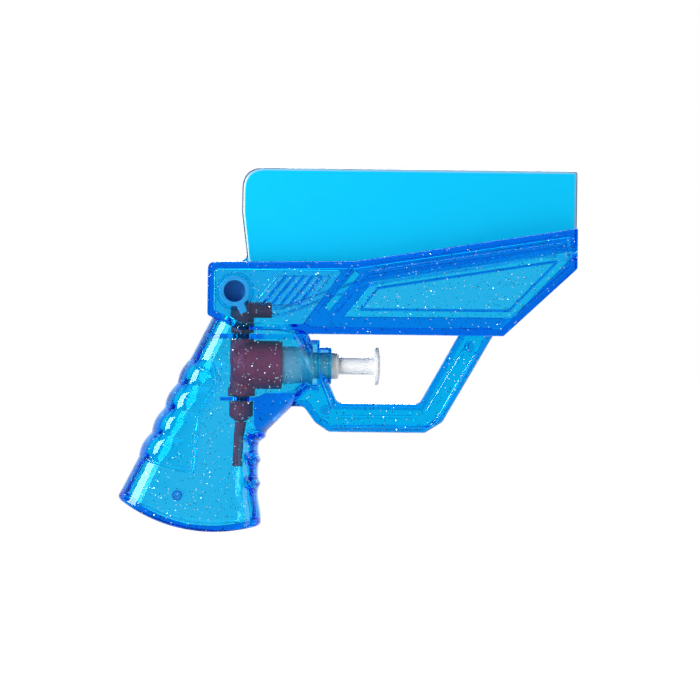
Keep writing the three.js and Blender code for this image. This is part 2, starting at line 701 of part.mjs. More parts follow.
function wholeBody() {
  const housing = plate(housingOutline, HOUSING_HALF, EDGE);
  const gripOuter = grip(0, 0, 1, GRIP_STATIONS);
  const gripHollow = grip(RIM_WALL, SIDE_WALL, 0, HOLLOW_STATIONS);
  const fin = plate(finOutline, FIN_HALF, FIN_EDGE);
  const guard = plate(guardOutline, GUARD_HALF, EDGE, guardHole);

  const hollowHalf = HOUSING_HALF - SIDE_WALL;
  const housingHollow = slab(inset(housingOutline, RIM_WALL), -hollowHalf, hollowHalf);
  const guardHollowHalf = GUARD_HALF - GUARD_SIDE;
  const guardHollow = cut(
    slab(inset(guardOutline, GUARD_WALL), -guardHollowHalf, guardHollowHalf),
    slab(inset(guardHole, -GUARD_WALL), -GUARD_HALF, GUARD_HALF),
    gripOuter,
    housing,
  );
  const shell = cut(
    join(decorated(housing), fin, guard, gripOuter),
    housingHollow,
    gripHollow,
    guardHollow,
  );

  const pumpAxis = [0, 0, PUMP_Z];
  const tower = [TOWER_X, 0, 0];
  const bossX = TOWER_X + BOSS_FRONT;
  const boss = join(
    bar(BOSS_OD, bossX - BOSS_DEPTH, bossX, 'x', pumpAxis),
    bar(TIP_OD, bossX - BOSS_DEPTH, bossX + TIP_LENGTH, 'x', pumpAxis),
  );
  const slabHalf = GRIP_HALF_BASE;
  const drainX = TOWER_X + DRAIN_OFFSET;
  const shelf = cut(
    box(rearX, muzzleX, -slabHalf, slabHalf, shelfTopZ - SHELF_THICKNESS, shelfTopZ).intersect(gripOuter),
    box(
      drainX - DRAIN_LENGTH / 2,
      drainX + DRAIN_LENGTH / 2,
      -DRAIN_WIDTH / 2,
      DRAIN_WIDTH / 2,
      shelfTopZ - SHELF_THICKNESS - OVERSHOOT,
      shelfTopZ + OVERSHOOT,
    ),
  );
  const footRib = box(
    TOWER_X - FOOT_RIB_REACH,
    TOWER_X + FOOT_RIB_REACH,
    -slabHalf,
    slabHalf,
    footRibZ,
    footRibZ + FOOT_RIB_THICKNESS,
  ).intersect(gripOuter);
  const studBars = studs.map(([x, z, half, wall]) => {
    const reach = half - wall + STUD_ROOT;
    return bar(STUD_OD, -reach, reach, 'y', [x, 0, z]);
  });

  return cut(
    join(shell, boss, shelf, footRib, ...studBars),
    bar(SLEEVE_OD + 2 * CLEARANCE, pumpFrontX, sleeveFrontX + CLEARANCE, 'x', pumpAxis),
    bar(NECK_OD + 2 * CLEARANCE, pumpFrontX, neckEndX, 'x', pumpAxis),
    bar(TOWER_OD + 2 * CLEARANCE, PUMP_Z, elbowZ, 'z', tower),
    bar(SPIGOT_OD + 2 * CLEARANCE, capTopZ, flangeZ, 'z', tower),
    bar(NOZZLE_OD + 2 * CLEARANCE, nozzleX, muzzleX + OVERSHOOT, 'x', [0, 0, nozzleZ]),
  );
}

// The halves are cut apart at the seam; the right one has the filler, the left one the locating pins
function halfSpace(side) {
  const far = 2 * HOUSING_HALF;
  const near = SEAM / 2;
  const [y0, y1] = side < 0 ? [-far, -near] : [near, far];
  return box(-HOUSING_LENGTH, 2 * HOUSING_LENGTH, y0, y1, -HOUSING_LENGTH, HOUSING_LENGTH);
}

function rightShell(body) {
  const sockets = studs.map(([x, z]) =>
    bar(PIN_OD + 2 * CLEARANCE, -PIN_LENGTH - CLEARANCE, OVERSHOOT, 'y', [x, 0, z]),
  );
  const filler = [fillerX, 0, fillerZ];
  const seatFace = -HOUSING_HALF - SEAT_HEIGHT;
  const seat = bar(SEAT_OD, seatFace, -HOUSING_HALF + SIDE_WALL / 2, 'y', filler);
  const mouth = bar(FILLER_BORE, seatFace - OVERSHOOT, -HOUSING_HALF + SIDE_WALL + OVERSHOOT, 'y', filler);
  return cut(join(body.intersect(halfSpace(-1)), seat), mouth, ...sockets);
}

function leftShell(body) {
  const pins = studs.map(([x, z]) => bar(PIN_OD, -PIN_LENGTH, SEAM / 2 + STUD_ROOT, 'y', [x, 0, z]));
  return join(body.intersect(halfSpace(1)), ...pins);
}

function fillerPlug() {
  const stem = FILLER_BORE / 2 - CLEARANCE;
  const cup = stem - PLUG_WALL;
  const flangeIn = -HOUSING_HALF - SEAT_HEIGHT - CLEARANCE;
  const flangeOut = flangeIn - PLUG_FLANGE;
  const tip = flangeIn + PLUG_DEPTH;
  const place = [fillerX, 0, fillerZ];
  const profile = [
    [0, tip],
    [stem, tip],
    [stem, flangeIn],
    [PLUG_FLANGE_OD / 2, flangeIn],
    [PLUG_FLANGE_OD / 2, flangeOut],
    [cup, flangeOut],
    [cup, tip - PLUG_WALL],
    [0, tip - PLUG_WALL],
  ];
  const angle = THREE.MathUtils.degToRad(TAB_ANGLE);
  const end = [fillerX + TAB_LENGTH * Math.sin(angle), fillerZ - TAB_LENGTH * Math.cos(angle)];
  const tabOutline = strip([fillerX, fillerZ], end, TAB_WIDTH).map(([x, z]) => [x, z, TAB_WIDTH / 2]);
  const tab = cut(
    slab(tabOutline, flangeOut, flangeIn),
    bar(2 * cup + PLUG_WALL, flangeOut - OVERSHOOT, flangeIn + OVERSHOOT, 'y', place),
  );
  return join(turned(profile, 'y', place), tab);
}

function pumpBody() {
  const axis = [0, 0, PUMP_Z];
  const tower = [TOWER_X, 0, 0];
  const backX = TOWER_X - PUMP_BACK;
  const block = turned(
    [
      [0, backX],
      [PUMP_BACK_OD / 2, backX],
      [PUMP_OD / 2, backX + PUMP_TAPER],
      [PUMP_OD / 2, pumpFrontX],
      [0, pumpFrontX],
    ],
    'x',
    axis,
  );
  const seat = turned(
    [
      [0, outletApexZ],
      [SEAT_MOUTH / 2, spigotHeadZ],
      [SEAT_MOUTH / 2, spigotHeadZ + OVERSHOOT],
      [0, spigotHeadZ + OVERSHOOT],
    ],
    'z',
    tower,
  );
  const body = join(
    block,
    bar(TOWER_OD, flangeZ, shelfTopZ, 'z', tower),
    bar(FLANGE_OD, flangeZ, flangeZ + FLANGE_HEIGHT, 'z', tower),
    bar(SPIGOT_OD, spigotFootZ, spigotHeadZ, 'z', tower),
  );
  return cut(
    body,
    bar(SLEEVE_TAIL_OD + 2 * CLEARANCE, socketX, pumpFrontX + OVERSHOOT, 'x', axis),
    bar(TOWER_BORE, spigotFootZ - OVERSHOOT, spigotHeadZ + OVERSHOOT, 'z', tower),
    bar(TOWER_BORE, TOWER_X, socketX + OVERSHOOT, 'x', axis),
    seat,
  );
}

function pumpSleeve() {
  const guide = ROD_OD / 2 + CLEARANCE;
  const frontWallX = sleeveFrontX - SLEEVE_FRONT_WALL;
  return turned(
    [
      [SLEEVE_BORE / 2, sleeveTailX],
      [SLEEVE_TAIL_OD / 2, sleeveTailX],
      [SLEEVE_TAIL_OD / 2, sleeveStepX],
      [SLEEVE_OD / 2, sleeveStepX],
      [SLEEVE_OD / 2, sleeveFrontX],
      [NECK_OD / 2, sleeveFrontX],
      [NECK_OD / 2, neckEndX - NECK_CHAMFER],
      [NECK_OD / 2 - NECK_CHAMFER, neckEndX],
      [guide, neckEndX],
      [guide, frontWallX],
      [SLEEVE_BORE / 2, frontWallX],
    ],
    'x',
    [0, 0, PUMP_Z],
  );
}

function ring(inner, outer, from, to, axis, place) {
  return turned([[inner, from], [outer, from], [outer, to], [inner, to]], axis, place);
}

function sleeveWasher() {
  const outer = SLEEVE_TAIL_OD / 2;
  const from = socketX + CLEARANCE;
  return ring(outer - WASHER_WIDTH, outer, from, from + WASHER_THICKNESS, 'x', [0, 0, PUMP_Z]);
}

function plunger() {
  const rodX = pistonFrontX + CLEARANCE;
  const rimX = knobX + KNOB_RIM;
  return turned(
    [
      [0, rodX - ROD_PIN_LENGTH],
      [ROD_PIN_OD / 2, rodX - ROD_PIN_LENGTH],
      [ROD_PIN_OD / 2, rodX],
      [ROD_OD / 2, rodX],
      [ROD_OD / 2, knobX],
      [KNOB_OD / 2, knobX],
      [KNOB_OD / 2, rimX],
      [KNOB_CROWN_OD / 2, rimX + KNOB_DOME],
      [0, rimX + KNOB_DOME],
    ],
    'x',
    [0, 0, PUMP_Z],
  );
}

const sealOuter = SLEEVE_BORE / 2 - SEAL_RUNNING_GAP;

function pistonHead() {
  const outer = SLEEVE_BORE / 2 - CLEARANCE;
  const groove = sealOuter - SEAL_SECTION - CLEARANCE;
  const grooveHalf = SEAL_SECTION / 2 + CLEARANCE;
  const middleX = (pistonBackX + pistonFrontX) / 2;
  const hole = ROD_PIN_OD / 2 + CLEARANCE;
  const holeX = pistonFrontX - ROD_PIN_LENGTH;
  return turned(
    [
      [0, pistonBackX - PISTON_BOSS_LENGTH],
      [PISTON_BOSS_OD / 2, pistonBackX - PISTON_BOSS_LENGTH],
      [PISTON_BOSS_OD / 2, pistonBackX],
      [outer, pistonBackX],
      [outer, middleX - grooveHalf],
      [groove, middleX - grooveHalf],
      [groove, middleX + grooveHalf],
      [outer, middleX + grooveHalf],
      [outer, pistonFrontX],
      [hole, pistonFrontX],
      [hole, holeX],
      [0, holeX],
    ],
    'x',
    [0, 0, PUMP_Z],
  );
}

function pistonSeal() {
  const radius = SEAL_SECTION / 2;
  const middleX = (pistonBackX + pistonFrontX) / 2;
  const profile = Array.from({ length: CURL_STEPS }, (_, k) => {
    const angle = (2 * Math.PI * k) / CURL_STEPS;
    return [sealOuter - radius + radius * Math.cos(angle), middleX + radius * Math.sin(angle)];
  });
  return turned(profile, 'x', [0, 0, PUMP_Z]);
}

const returnSpring = () =>
  spring(
    'return_spring',
    'x',
    [0, 0, PUMP_Z],
    SPRING_OD,
    SPRING_WIRE,
    socketX + CLEARANCE,
    pistonBackX - CLEARANCE,
    SPRING_TURNS,
  );

function inletValveCap() {
  const socket = SPIGOT_OD / 2 + CLEARANCE;
  const socketZ = spigotFootZ - CLEARANCE;
  const chamber = CHAMBER_BORE / 2;
  const bore = NIPPLE_BORE / 2;
  const nipple = DIP_BORE / 2 - CLEARANCE;
  return turned(
    [
      [bore, capTipZ - NIPPLE_LENGTH],
      [nipple, capTipZ - NIPPLE_LENGTH],
      [nipple, capTipZ],
      [CAP_TIP_OD / 2, capTipZ],
      [CAP_OD / 2, capBottomZ],
      [CAP_OD / 2, capTopZ],
      [socket, capTopZ],
      [socket, socketZ],
      [chamber, socketZ],
      [chamber, inletApexZ + chamber],
      [bore, inletApexZ + bore],
    ],
    'z',
    [TOWER_X, 0, 0],
  );
}

function ball(apexZ) {
  const geometry = new THREE.SphereGeometry(BALL_OD / 2, BALL_SIDES, BALL_SIDES / 2);
  geometry.rotateX(Math.PI / 2);
  geometry.translate(TOWER_X, 0, apexZ + ballRise);
  return solid(geometry);
}

// The dip tube is modelled hanging from its own upper end, and its mesh is placed and leant
const dipTube = () => ring(DIP_BORE / 2, DIP_OD / 2, -DIP_LENGTH, 0, 'z', [0, 0, 0]);

function outletElbow() {
  const tower = [TOWER_X, 0, 0];
  const outlet = [0, 0, outletZ];
  const chamberZ = spigotHeadZ + CLEARANCE;
  return cut(
    join(bar(ELBOW_OD, elbowZ, elbowTopZ, 'z', tower), bar(OUTLET_OD, TOWER_X, outletX, 'x', outlet)),
    bar(SPIGOT_OD + 2 * CLEARANCE, elbowZ - OVERSHOOT, chamberZ, 'z', tower),
    bar(CHAMBER_BORE, elbowZ, elbowTopZ - ELBOW_ROOF, 'z', tower),
    bar(TUBE_OD + 2 * CLEARANCE, TOWER_X, outletX + OVERSHOOT, 'x', outlet),
  );
}

const outletSpring = () =>
  spring(
    'outlet_spring',
    'z',
    [TOWER_X, 0, 0],
    VALVE_SPRING_OD,
    VALVE_SPRING_WIRE,
    outletApexZ + ballRise + BALL_OD / 2 + CLEARANCE,
    elbowTopZ - ELBOW_ROOF - CLEARANCE,
    VALVE_SPRING_TURNS,
  );

function deliveryTube() {
  const climbX = rearX + TUBE_CLIMB;
  const points = [
    [outletX - TUBE_GRIP, outletZ],
    [outletX, outletZ],
    [outletX + TUBE_RUN, outletZ],
    [(outletX + climbX) / 2, (outletZ + bandAt(climbX)) / 2],
    [climbX, bandAt(climbX)],
    [(climbX + nozzleX) / 2, bandAt((climbX + nozzleX) / 2)],
    [nozzleX - 2 * TUBE_RUN, bandAt(nozzleX - TUBE_RUN)],
    [nozzleX, nozzleZ],
    [nozzleX + TUBE_GRIP - CLEARANCE, nozzleZ],
  ];
  const curve = new THREE.CatmullRomCurve3(points.map(([x, z]) => new THREE.Vector3(x, 0, z)));
  const section = roundSection(new THREE.Shape(), TUBE_OD, TUBE_SIDES);
  section.holes.push(roundSection(new THREE.Path(), TUBE_BORE, TUBE_SIDES));
  return solid(new THREE.ExtrudeGeometry(section, { steps: TUBE_STEPS, extrudePath: curve }));
}

function nozzle() {
  const socket = TUBE_OD / 2 + CLEARANCE;
  const flangeX = muzzleX - RIM_WALL - CLEARANCE;
  return turned(
    [
      [socket, nozzleX],
      [NOZZLE_OD / 2, nozzleX],
      [NOZZLE_OD / 2, flangeX - NOZZLE_FLANGE],
      [NOZZLE_FLANGE_OD / 2, flangeX - NOZZLE_FLANGE],
      [NOZZLE_FLANGE_OD / 2, flangeX],
      [NOZZLE_OD / 2, flangeX],
      [NOZZLE_OD / 2, muzzleX - CLEARANCE],
      [JET_BORE / 2, muzzleX - CLEARANCE],
      [JET_BORE / 2, nozzleX + TUBE_GRIP],
      [socket, nozzleX + TUBE_GRIP],
    ],
    'x',
    [0, 0, nozzleZ],
  );
}

// Finishes
const finish = (color, roughness, extra = {}) =>
  new THREE.MeshStandardMaterial({ color, roughness, metalness: 0, ...extra });
const bluePlastic = finish(0x0a9be8, 0.12, { transparent: true, opacity: 0.45 });
const plugPlastic = finish(0x0a86cc, 0.3);
const labelPrint = finish(0x01c9fd, 0.45);
const redPlastic = finish(0x8c2f45, 0.4);
const whitePlastic = finish(0xe9ebee, 0.35);
const clearTube = finish(0xdfeaf0, 0.2, { transparent: true, opacity: 0.4 });
const rubber = finish(0x202225, 0.8);
const steel = finish(0xb9bec4, 0.25, { metalness: 1 });

function toMesh(name, manifold, material) {
  const { vertProperties, triVerts } = manifold.getMesh();
  const geometry = new THREE.BufferGeometry();
  geometry.setAttribute('position', new THREE.BufferAttribute(new Float32Array(vertProperties), 3));
  geometry.setIndex(new THREE.BufferAttribute(new Uint32Array(triVerts), 1));
  geometry.computeVertexNormals();
  const mesh = new THREE.Mesh(geometry, material);
  mesh.name = name;
  return mesh;
}

const body = wholeBody();
const squirter = new THREE.Group();
squirter.add(
  toMesh('right_shell', rightShell(body), bluePlastic),
  toMesh('left_shell', leftShell(body), bluePlastic),
  toMesh('right_label', slab(labelOutline, -FIN_HALF - LABEL_THICKNESS, -FIN_HALF), labelPrint),
  toMesh('left_label', slab(labelOutline, FIN_HALF, FIN_HALF + LABEL_THICKNESS), labelPrint),
  toMesh('filler_plug', fillerPlug(), plugPlastic),
);

const pump = new THREE.Group();
pump.add(
  toMesh('pump_body', pumpBody(), redPlastic),
  toMesh('pump_sleeve', pumpSleeve(), whitePlastic),
  toMesh('sleeve_washer', sleeveWasher(), rubber),
  toMesh('plunger', plunger(), whitePlastic),
  toMesh('piston_head', pistonHead(), whitePlastic),
  toMesh('piston_seal', pistonSeal(), rubber),
  toMesh('return_spring', returnSpring(), steel),
  toMesh('inlet_valve_cap', inletValveCap(), redPlastic),
  toMesh('inlet_ball', ball(inletApexZ), steel),
);

const dip = toMesh('dip_tube', dipTube(), redPlastic);
dip.position.set(TOWER_X, 0, capTipZ - CLEARANCE);
dip.rotation.y = THREE.MathUtils.degToRad(DIP_LEAN);
pump.add(dip);

const delivery = new THREE.Group();
delivery.add(
  toMesh('outlet_elbow', outletElbow(), redPlastic),
  toMesh('outlet_ball', ball(outletApexZ), steel),
  toMesh('outlet_spring', outletSpring(), steel),
  toMesh('delivery_tube', deliveryTube(), clearTube),
  toMesh('nozzle', nozzle(), whitePlastic),
);
squirter.add(pump, delivery);

export default squirter;
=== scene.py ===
"""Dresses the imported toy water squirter: glittering see-through shells, a hand pump, labels and a stage."""

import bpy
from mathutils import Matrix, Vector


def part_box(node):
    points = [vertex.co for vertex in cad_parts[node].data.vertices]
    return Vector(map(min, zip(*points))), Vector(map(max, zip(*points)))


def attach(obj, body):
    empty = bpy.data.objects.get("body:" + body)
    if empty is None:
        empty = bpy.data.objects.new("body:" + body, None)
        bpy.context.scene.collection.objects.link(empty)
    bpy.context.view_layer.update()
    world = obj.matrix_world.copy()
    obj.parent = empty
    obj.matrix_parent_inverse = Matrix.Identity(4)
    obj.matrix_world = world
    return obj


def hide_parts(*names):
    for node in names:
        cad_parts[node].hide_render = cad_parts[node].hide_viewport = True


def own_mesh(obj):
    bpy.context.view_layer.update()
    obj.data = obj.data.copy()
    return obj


bl_info = {
    "name": "Toy Water Squirter",
    "version": (1, 0, 0),
    "blender": (4, 5, 0),
    "location": "View3D > Sidebar > Squirter",
    "description": "Builds a see-through pump squirter around its packed frame",
    "category": "Add Mesh",
}

import math

import bmesh
import bpy
from bpy.props import FloatProperty, FloatVectorProperty, IntProperty, PointerProperty
from mathutils import Matrix, Vector
from mathutils.bvhtree import BVHTree

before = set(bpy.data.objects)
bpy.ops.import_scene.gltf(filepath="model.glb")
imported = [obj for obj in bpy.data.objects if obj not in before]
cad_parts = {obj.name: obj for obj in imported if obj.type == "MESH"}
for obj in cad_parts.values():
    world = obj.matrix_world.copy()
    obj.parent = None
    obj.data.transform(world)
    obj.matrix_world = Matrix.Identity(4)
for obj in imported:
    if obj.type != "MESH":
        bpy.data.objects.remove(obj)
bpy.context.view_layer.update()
MM = 0.001

# Datums in millimetres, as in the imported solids: +X to the muzzle, +Y to the left, +Z up
PUMP_Z = 24.0
OUTLET_Z = 43.2
NOZZLE_Z = 64.47
TOWER_X = 12.2
REAR_X = 0.2
MUZZLE_X = 128.8
UNDER_Z = 35.0
FIN_TOP = 93.0
HOUSING_HALF = 12.5
GUARD_HALF = 6.0
FIN_HALF = 2.0
PUMP_AXIS = (0, 0, PUMP_Z)
OUTLET_AXIS = (0, 0, OUTLET_Z)
NOZZLE_AXIS = (0, 0, NOZZLE_Z)
TOWER_AXIS = (TOWER_X, 0, 0)
FILLER_AXIS = (9.7, 0, 49.6)

# Levels, as (inset, y), of a form that goes right through the housing
RIGHT_THROUGH = [(0, -HOUSING_HALF), (0, HOUSING_HALF)]

# Side-view outlines as (x, z, corner radius), counter-clockwise seen from the right side
HOUSING = [
    (REAR_X, 41.2, 1.5), (11.5, 36.2, 1.0), (33.4, 36.2, 0.6), (35.4, UNDER_Z, 0.6), (103.3, UNDER_Z, 1.5),
    (MUZZLE_X, 58.8, 1.5), (MUZZLE_X, 72.9, 0.4), (51.5, 60.6, 0), (REAR_X, 59.8, 2.8),
]
FIN = [
    (10.4, 58.8, 0), (51.5, 59.6, 0), (MUZZLE_X, 71.9, 0), (MUZZLE_X, FIN_TOP, 1.2), (11.7, FIN_TOP, 9.0),
    (11.7, 77.0, 9.0), (13.7, 61.4, 1.8), (10.4, 59.9, 0.3),
]
LABEL = [
    (14.2, 60.15, 0), (51.5, 60.75, 0), (128.5, 73.0, 0), (128.5, 92.7, 1.0), (12.1, 92.7, 8.6),
    (12.1, 77.0, 9.0),
]
GUARD = [
    (42.9, 0.9, 2.2), (76.4, 0.9, 2.2), (82.6, 4.8, 2.2), (101.5, 38.0, 0), (32.1, 38.0, 0), (26.4, 9.6, 0),
    (34.0, 9.6, 2.2), (38.1, 4.1, 2.2),
]
GUARD_HOLE = [(45.84, 11.1, 2.6), (74.34, 11.1, 2.6), (87.98, 35.5, 0), (35.18, 35.5, 0)]
LONG_PANEL = [(52.4, 43.3, 0.8), (105.4, 43.5, 0.8), (123.2, 62.0, 0.8), (59.2, 51.7, 0.8)]
FLUTED_FIELD = [(16.2, 44.9, 0.5), (34.7, 44.9, 0.5), (43.0, 55.3, 0.5), (24.5, 55.3, 0.5)]
REAR_POCKET = [(2.4, 43.0, 1.0), (12.2, 38.4, 1.0), (33.8, 38.4, 1.0), (47.5, 57.3, 1.0), (2.4, 57.3, 1.5)]
WEDGE = [(59.5, 58.5, 0.3), (124.7, 68.9, 0.3), (124.7, 70.7, 0.3), (57.0, 59.9, 0.3)]
CROTCH = [
    (16.8, 3.0, 0), (20.0, -0.5, 0), (44.0, -0.5, 0), (44.0, 15.0, 0), (20.5, 14.2, 1.0), (16.8, 12.6, 1.0),
]

# Side-view lines as (x, z)
RAIL = [(55.9, 56.5), (123.8, 67.3)]
REAR_BARS = [[(45.0, 43.0), (55.9, 56.5)], [(38.0, 43.4), (50.5, 58.7)]]
BAR_GAP = [(41.7, 43.6), (52.4, 56.8)]
NOSE_BEADS = [[(107.0, 42.0), (126.2, 59.6)], [(126.2, 59.4), (126.2, 66.2)]]
PALM_PAD = [
    (-2.5, 22.7), (3.4, 18.0), (1.0, 13.0), (-1.7, 7.0), (-3.5, 1.0), (-4.0, -6.0), (-5.5, -13.5),
    (-10.0, -12.5), (-21.5, -8.3), (-40.0, 0.0), (-20.0, 30.0),
]
RIDGES = [
    [(-4.4, 24.1), (-2.1, 22.7), (2.2, 20.6), (3.1, 18.7), (2.8, 16.6), (0.2, 11.5), (-2.6, 6.6),
     (-3.9, -0.5), (-4.5, -7.5), (-5.5, -13.1)],
    [(-21.4, -8.8), (-19.0, -9.9), (-12.0, -11.8), (-6.8, -13.0)],
    [(33.6, 33.8), (37.9, 24.1), (40.6, 17.5), (43.9, 9.0)],
    [(44.0, 2.8), (60.0, 2.9), (76.0, 2.95), (79.4, 4.4), (81.4, 7.2), (87.7, 18.2), (94.1, 29.4)],
    [(46.8, 6.1), (60.0, 6.3), (72.0, 6.4)],
    [(77.2, 8.8), (84.6, 21.2), (91.9, 33.4)],
]
TUBE_ROUTE = [
    (19.5, OUTLET_Z), (22.5, OUTLET_Z), (26.5, OUTLET_Z), (42.35, 49.1), (62.2, 54.9), (92.25, 59.68),
    (114.3, 63.83), (122.3, NOZZLE_Z), (125.0, NOZZLE_Z),
]

# Details of the housing, the guard and the fin
POCKET_EDGE = 0.3
REAR_DEEPER = 0.35
REAR_SHALLOWER = 2.75
PANEL_MARGIN = 2.3
PANEL_RIB = 0.9
PANEL_DRAFT = 0.5
STEP_DEPTH = 0.3
WEDGE_DEPTH = 0.35
BAR_GAP_WIDTH = 2.6
RAIL_WIDTH = 1.3
RAIL_EDGE = 0.35
NOSE_BEAD_WIDTH = 0.8
NOSE_BEAD_HEIGHT = 0.45
NOSE_BEAD_EDGE = 0.25
FLUTES = 5
FLUTE_WIDTH = 0.9
FLUTE_EDGE = 0.3
FLUTE_RIB = 1.0
GUARD_SIDE = 2.8
GUARD_HOLLOW_EDGE = 0.5
FIN_EDGE = 0.6
SOLE = 1.2

# The smallest corner radius that an outline keeps, and how far a cutter goes past what it cuts
SMALLEST_RADIUS = 0.03
PAST = 1.0

# The film on the fin: gap under it, height of its rim and face, bevel between them and level of its foot
LABEL_GAP = 0.03
LABEL_RIM = 0.1
LABEL_FACE = 0.4
LABEL_BEVEL = 0.6
LABEL_FOOT = 74

# The grip: rear and front lines, base, squareness of its rings, lobes, and finger bumps as (z, height)
GRIP_REAR = (1.9, 41.0)
GRIP_RAKE = math.radians(27.1)
GRIP_LEAN = math.radians(26.7)
GRIP_FRONT_X = 18.4
CROTCH_Z = -2.0
TOE = 1.1
TOE_DEPTHS = (21.0, 29.0)
NECK_X = 35.4
NECK_RAKE = math.radians(23.6)
BASE_REAR_Z = -23.6
BASE_FRONT_Z = -32.6
REAR_HEIGHT = 64.6
FRONT_HEIGHT = 69.6
GRIP_HEIGHT = 66.0
GRIP_TAPER = 1.0
BASE_EDGE = 1.6
BASE_STEPS = 5
BASE_BULGE = 5.5
BULGE_SHARE = 0.3
HOLLOW_EDGE = 1.0
RING_POWER = 2 / 3
LOBES = 4
LOBE_TOP = 26.0
LOBE_PITCH = 8.6
LOBE_REACH = (0.25, 0.8)
FINGER_BUMPS = [(-1.3, 1.53), (-9.0, 0.9), (-17.4, 0.9)]
BUMP_LENGTH = 1.4
BUMP_REACH = (0.72, 0.97)
PAD_SLOPE = 0.5

# Pegs between the halves as (x, z, half width there, wall there), and their sizes
PEGS = [(91.5, 31.0, 6.0, 1.6), (41.6, 8.5, 6.0, 1.6), (-9.5, -21.7, 12.5, 1.8)]
PEG_DIAMETER = 2.0
PEG_START = -4.0
PEG_REACH = 0.6
SOCKET_DIAMETER = 2.6
SOCKET_SINK = 0.1
WELL_START = 0.8
PEG_BAR_DIAMETER = 3.6
PEG_BAR_SINK = 0.6

# Boxes inside the body as (x0, x1, y0, y1, z0, z1)
SHELF = (0, 129, -HOUSING_HALF, HOUSING_HALF, 33.0, 34.8)
SHELF_DRAIN = (19.7, 29.7, -6, 6, 32, 36)
FOOT = (5.0, 19.4, -HOUSING_HALF, HOUSING_HALF, 11.5, 12.7)
SOLE_FIELD = (1.0, 40.0, -12.0, 12.0, 30.0, 41.0)
SOLE_DRAIN = (19.7, 29.7, -6, 6, 32, 40)

# Bores and bars as (diameter, start, end) along their axes
BOSS_BORES = [(16.2, 26.5, 38.6), (11.4, 26.5, 42.4), (9.9, 26.5, 46.2)]
TOWER_BORES = [(9.0, PUMP_Z, 38.5), (6.4, 11.2, 13.0)]
MUZZLE_BORES = [(6.2, 122.3, 129.8), (8.2, 121.0, 126.8)]
FILLER_BORE = (9.4, -14.3, -9.7)
TOWER = (8.4, 13.0, 34.8)
TOWER_COLLAR = (9.6, 13.0, 16.0)
TOWER_SPIGOTS = (5.8, 9.9, 38.4)
CYLINDER_BORE = (13.6, 15.0, 27.5)
RISER = (2.2, 8.9, 39.4)
PORT = (2.2, TOWER_X, 16.0)
ELBOW_DOME = (8.3, 35.1, 46.0)
ELBOW_SPOUT = (5.5, TOWER_X, 22.5)
ELBOW_SOCKET = (6.4, 34.1, 38.7)
ELBOW_CHAMBER = (5.0, 35.1, 44.7)
ELBOW_BORE = (4.0, TOWER_X, 23.5)

# Round profiles as (radius, distance along the axis)
BOSS = [(0, 33.4), (9.0, 33.4), (9.0, 39.4), (6.5, 39.4), (6.5, 43.6), (0, 43.6)]
FILLER_SEAT = [(4.7, -12.8), (5.7, -12.8), (5.8, -13.6), (6.5, -13.6), (6.65, -11.6), (4.7, -11.6)]
PLUG_CUP = [
    (0, -8.0), (4.4, -8.0), (4.4, -13.6), (5.3, -13.6), (5.3, -14.8), (3.75, -14.8), (3.7, -8.7), (0, -8.7),
]
BARREL = [(0, 9.5), (6.5, 9.5), (8.5, 13.0), (8.5, 26.5), (0, 26.5)]
BALL_SEAT = [(0, 36.1), (2.3, 38.4), (2.3, 39.4), (0, 39.4)]
CYLINDER = [
    (5.6, 16.6), (6.5, 16.6), (6.5, 26.8), (6.75, 26.8), (6.75, 37.0), (4.65, 37.0), (4.65, 45.5),
    (3.95, 46.2), (3.3, 46.2), (3.3, 35.9), (5.6, 35.9),
]
WASHER = [(5.2, 15.3), (6.5, 15.3), (6.5, 16.3), (5.2, 16.3)]
INLET_CAP = [
    (0.6, 0.2), (1.0, 0.2), (1.0, 4.2), (2.0, 4.2), (4.2, 6.0), (4.2, 11.2), (3.2, 11.2), (3.2, 9.6),
    (2.5, 9.6), (2.5, 7.4), (0.6, 5.5),
]
SUCTION_TUBE = [(1.3, -15.5), (2.0, -15.5), (2.0, 0), (1.3, 0)]
PUSH_PLUNGER = [
    (0, 33.2), (1.5, 33.2), (1.5, 35.9), (3.0, 35.9), (3.0, 58.7), (6.6, 58.7), (6.6, 60.0), (3.3, 60.6),
    (0, 60.6),
]
PISTON = [
    (0, 30.1), (2.9, 30.1), (2.9, 31.6), (5.3, 31.6), (5.3, 32.7), (3.95, 32.7), (3.95, 34.5), (5.3, 34.5),
    (5.3, 35.6), (1.8, 35.6), (1.8, 32.9), (0, 32.9),
]
JET_NOZZLE = [
    (2.0, 122.3), (2.8, 122.3), (2.8, 125.3), (3.8, 125.3), (3.8, 126.5), (2.8, 126.5), (2.8, 128.5),
    (0.6, 128.5), (0.6, 125.3), (2.0, 125.3),
]

# Other details of the plug, the pump and the glitter
TAB_TURN = math.radians(24)
TAB_REACH = (4.2, 8.3)
TAB_WIDTH = 2.7
TAB_SIDES = (-14.8, -13.6)
TUBE_TOP_Z = 3.9
TUBE_LEAN = math.radians(2.4)
TUBE_RADII = (1.7, 1.0)
SEAL_RADIUS = 4.85
SEAL_X = 33.6
SEAL_SECTION = 0.6
RETURN_SPRING_X = 15.6
VALVE_SPRING_Z = 40.38
FLAKE_TILT = math.radians(16)
FLAKE_SIDES = 6

# Sockets of nodes that have several of one name
COLOUR_A, COLOUR_B, COLOUR_RESULT = 6, 7, 2
NUMBER_MIN, NUMBER_MAX, NUMBER_VALUE = 2, 3, 1
VECTOR_MIN, VECTOR_MAX, VECTOR_VALUE = 0, 1, 0

# The stage: picture width in pixels, the point in metres that the camera and the lamps face, and the floor
PICTURE_WIDTH = 700
AIM = Vector((0.05, 0, 0.0296))
FLOOR_HALF = 60
FLOOR_GLOW = 1.17
FLOOR_GLOW_SHARE = 0.85


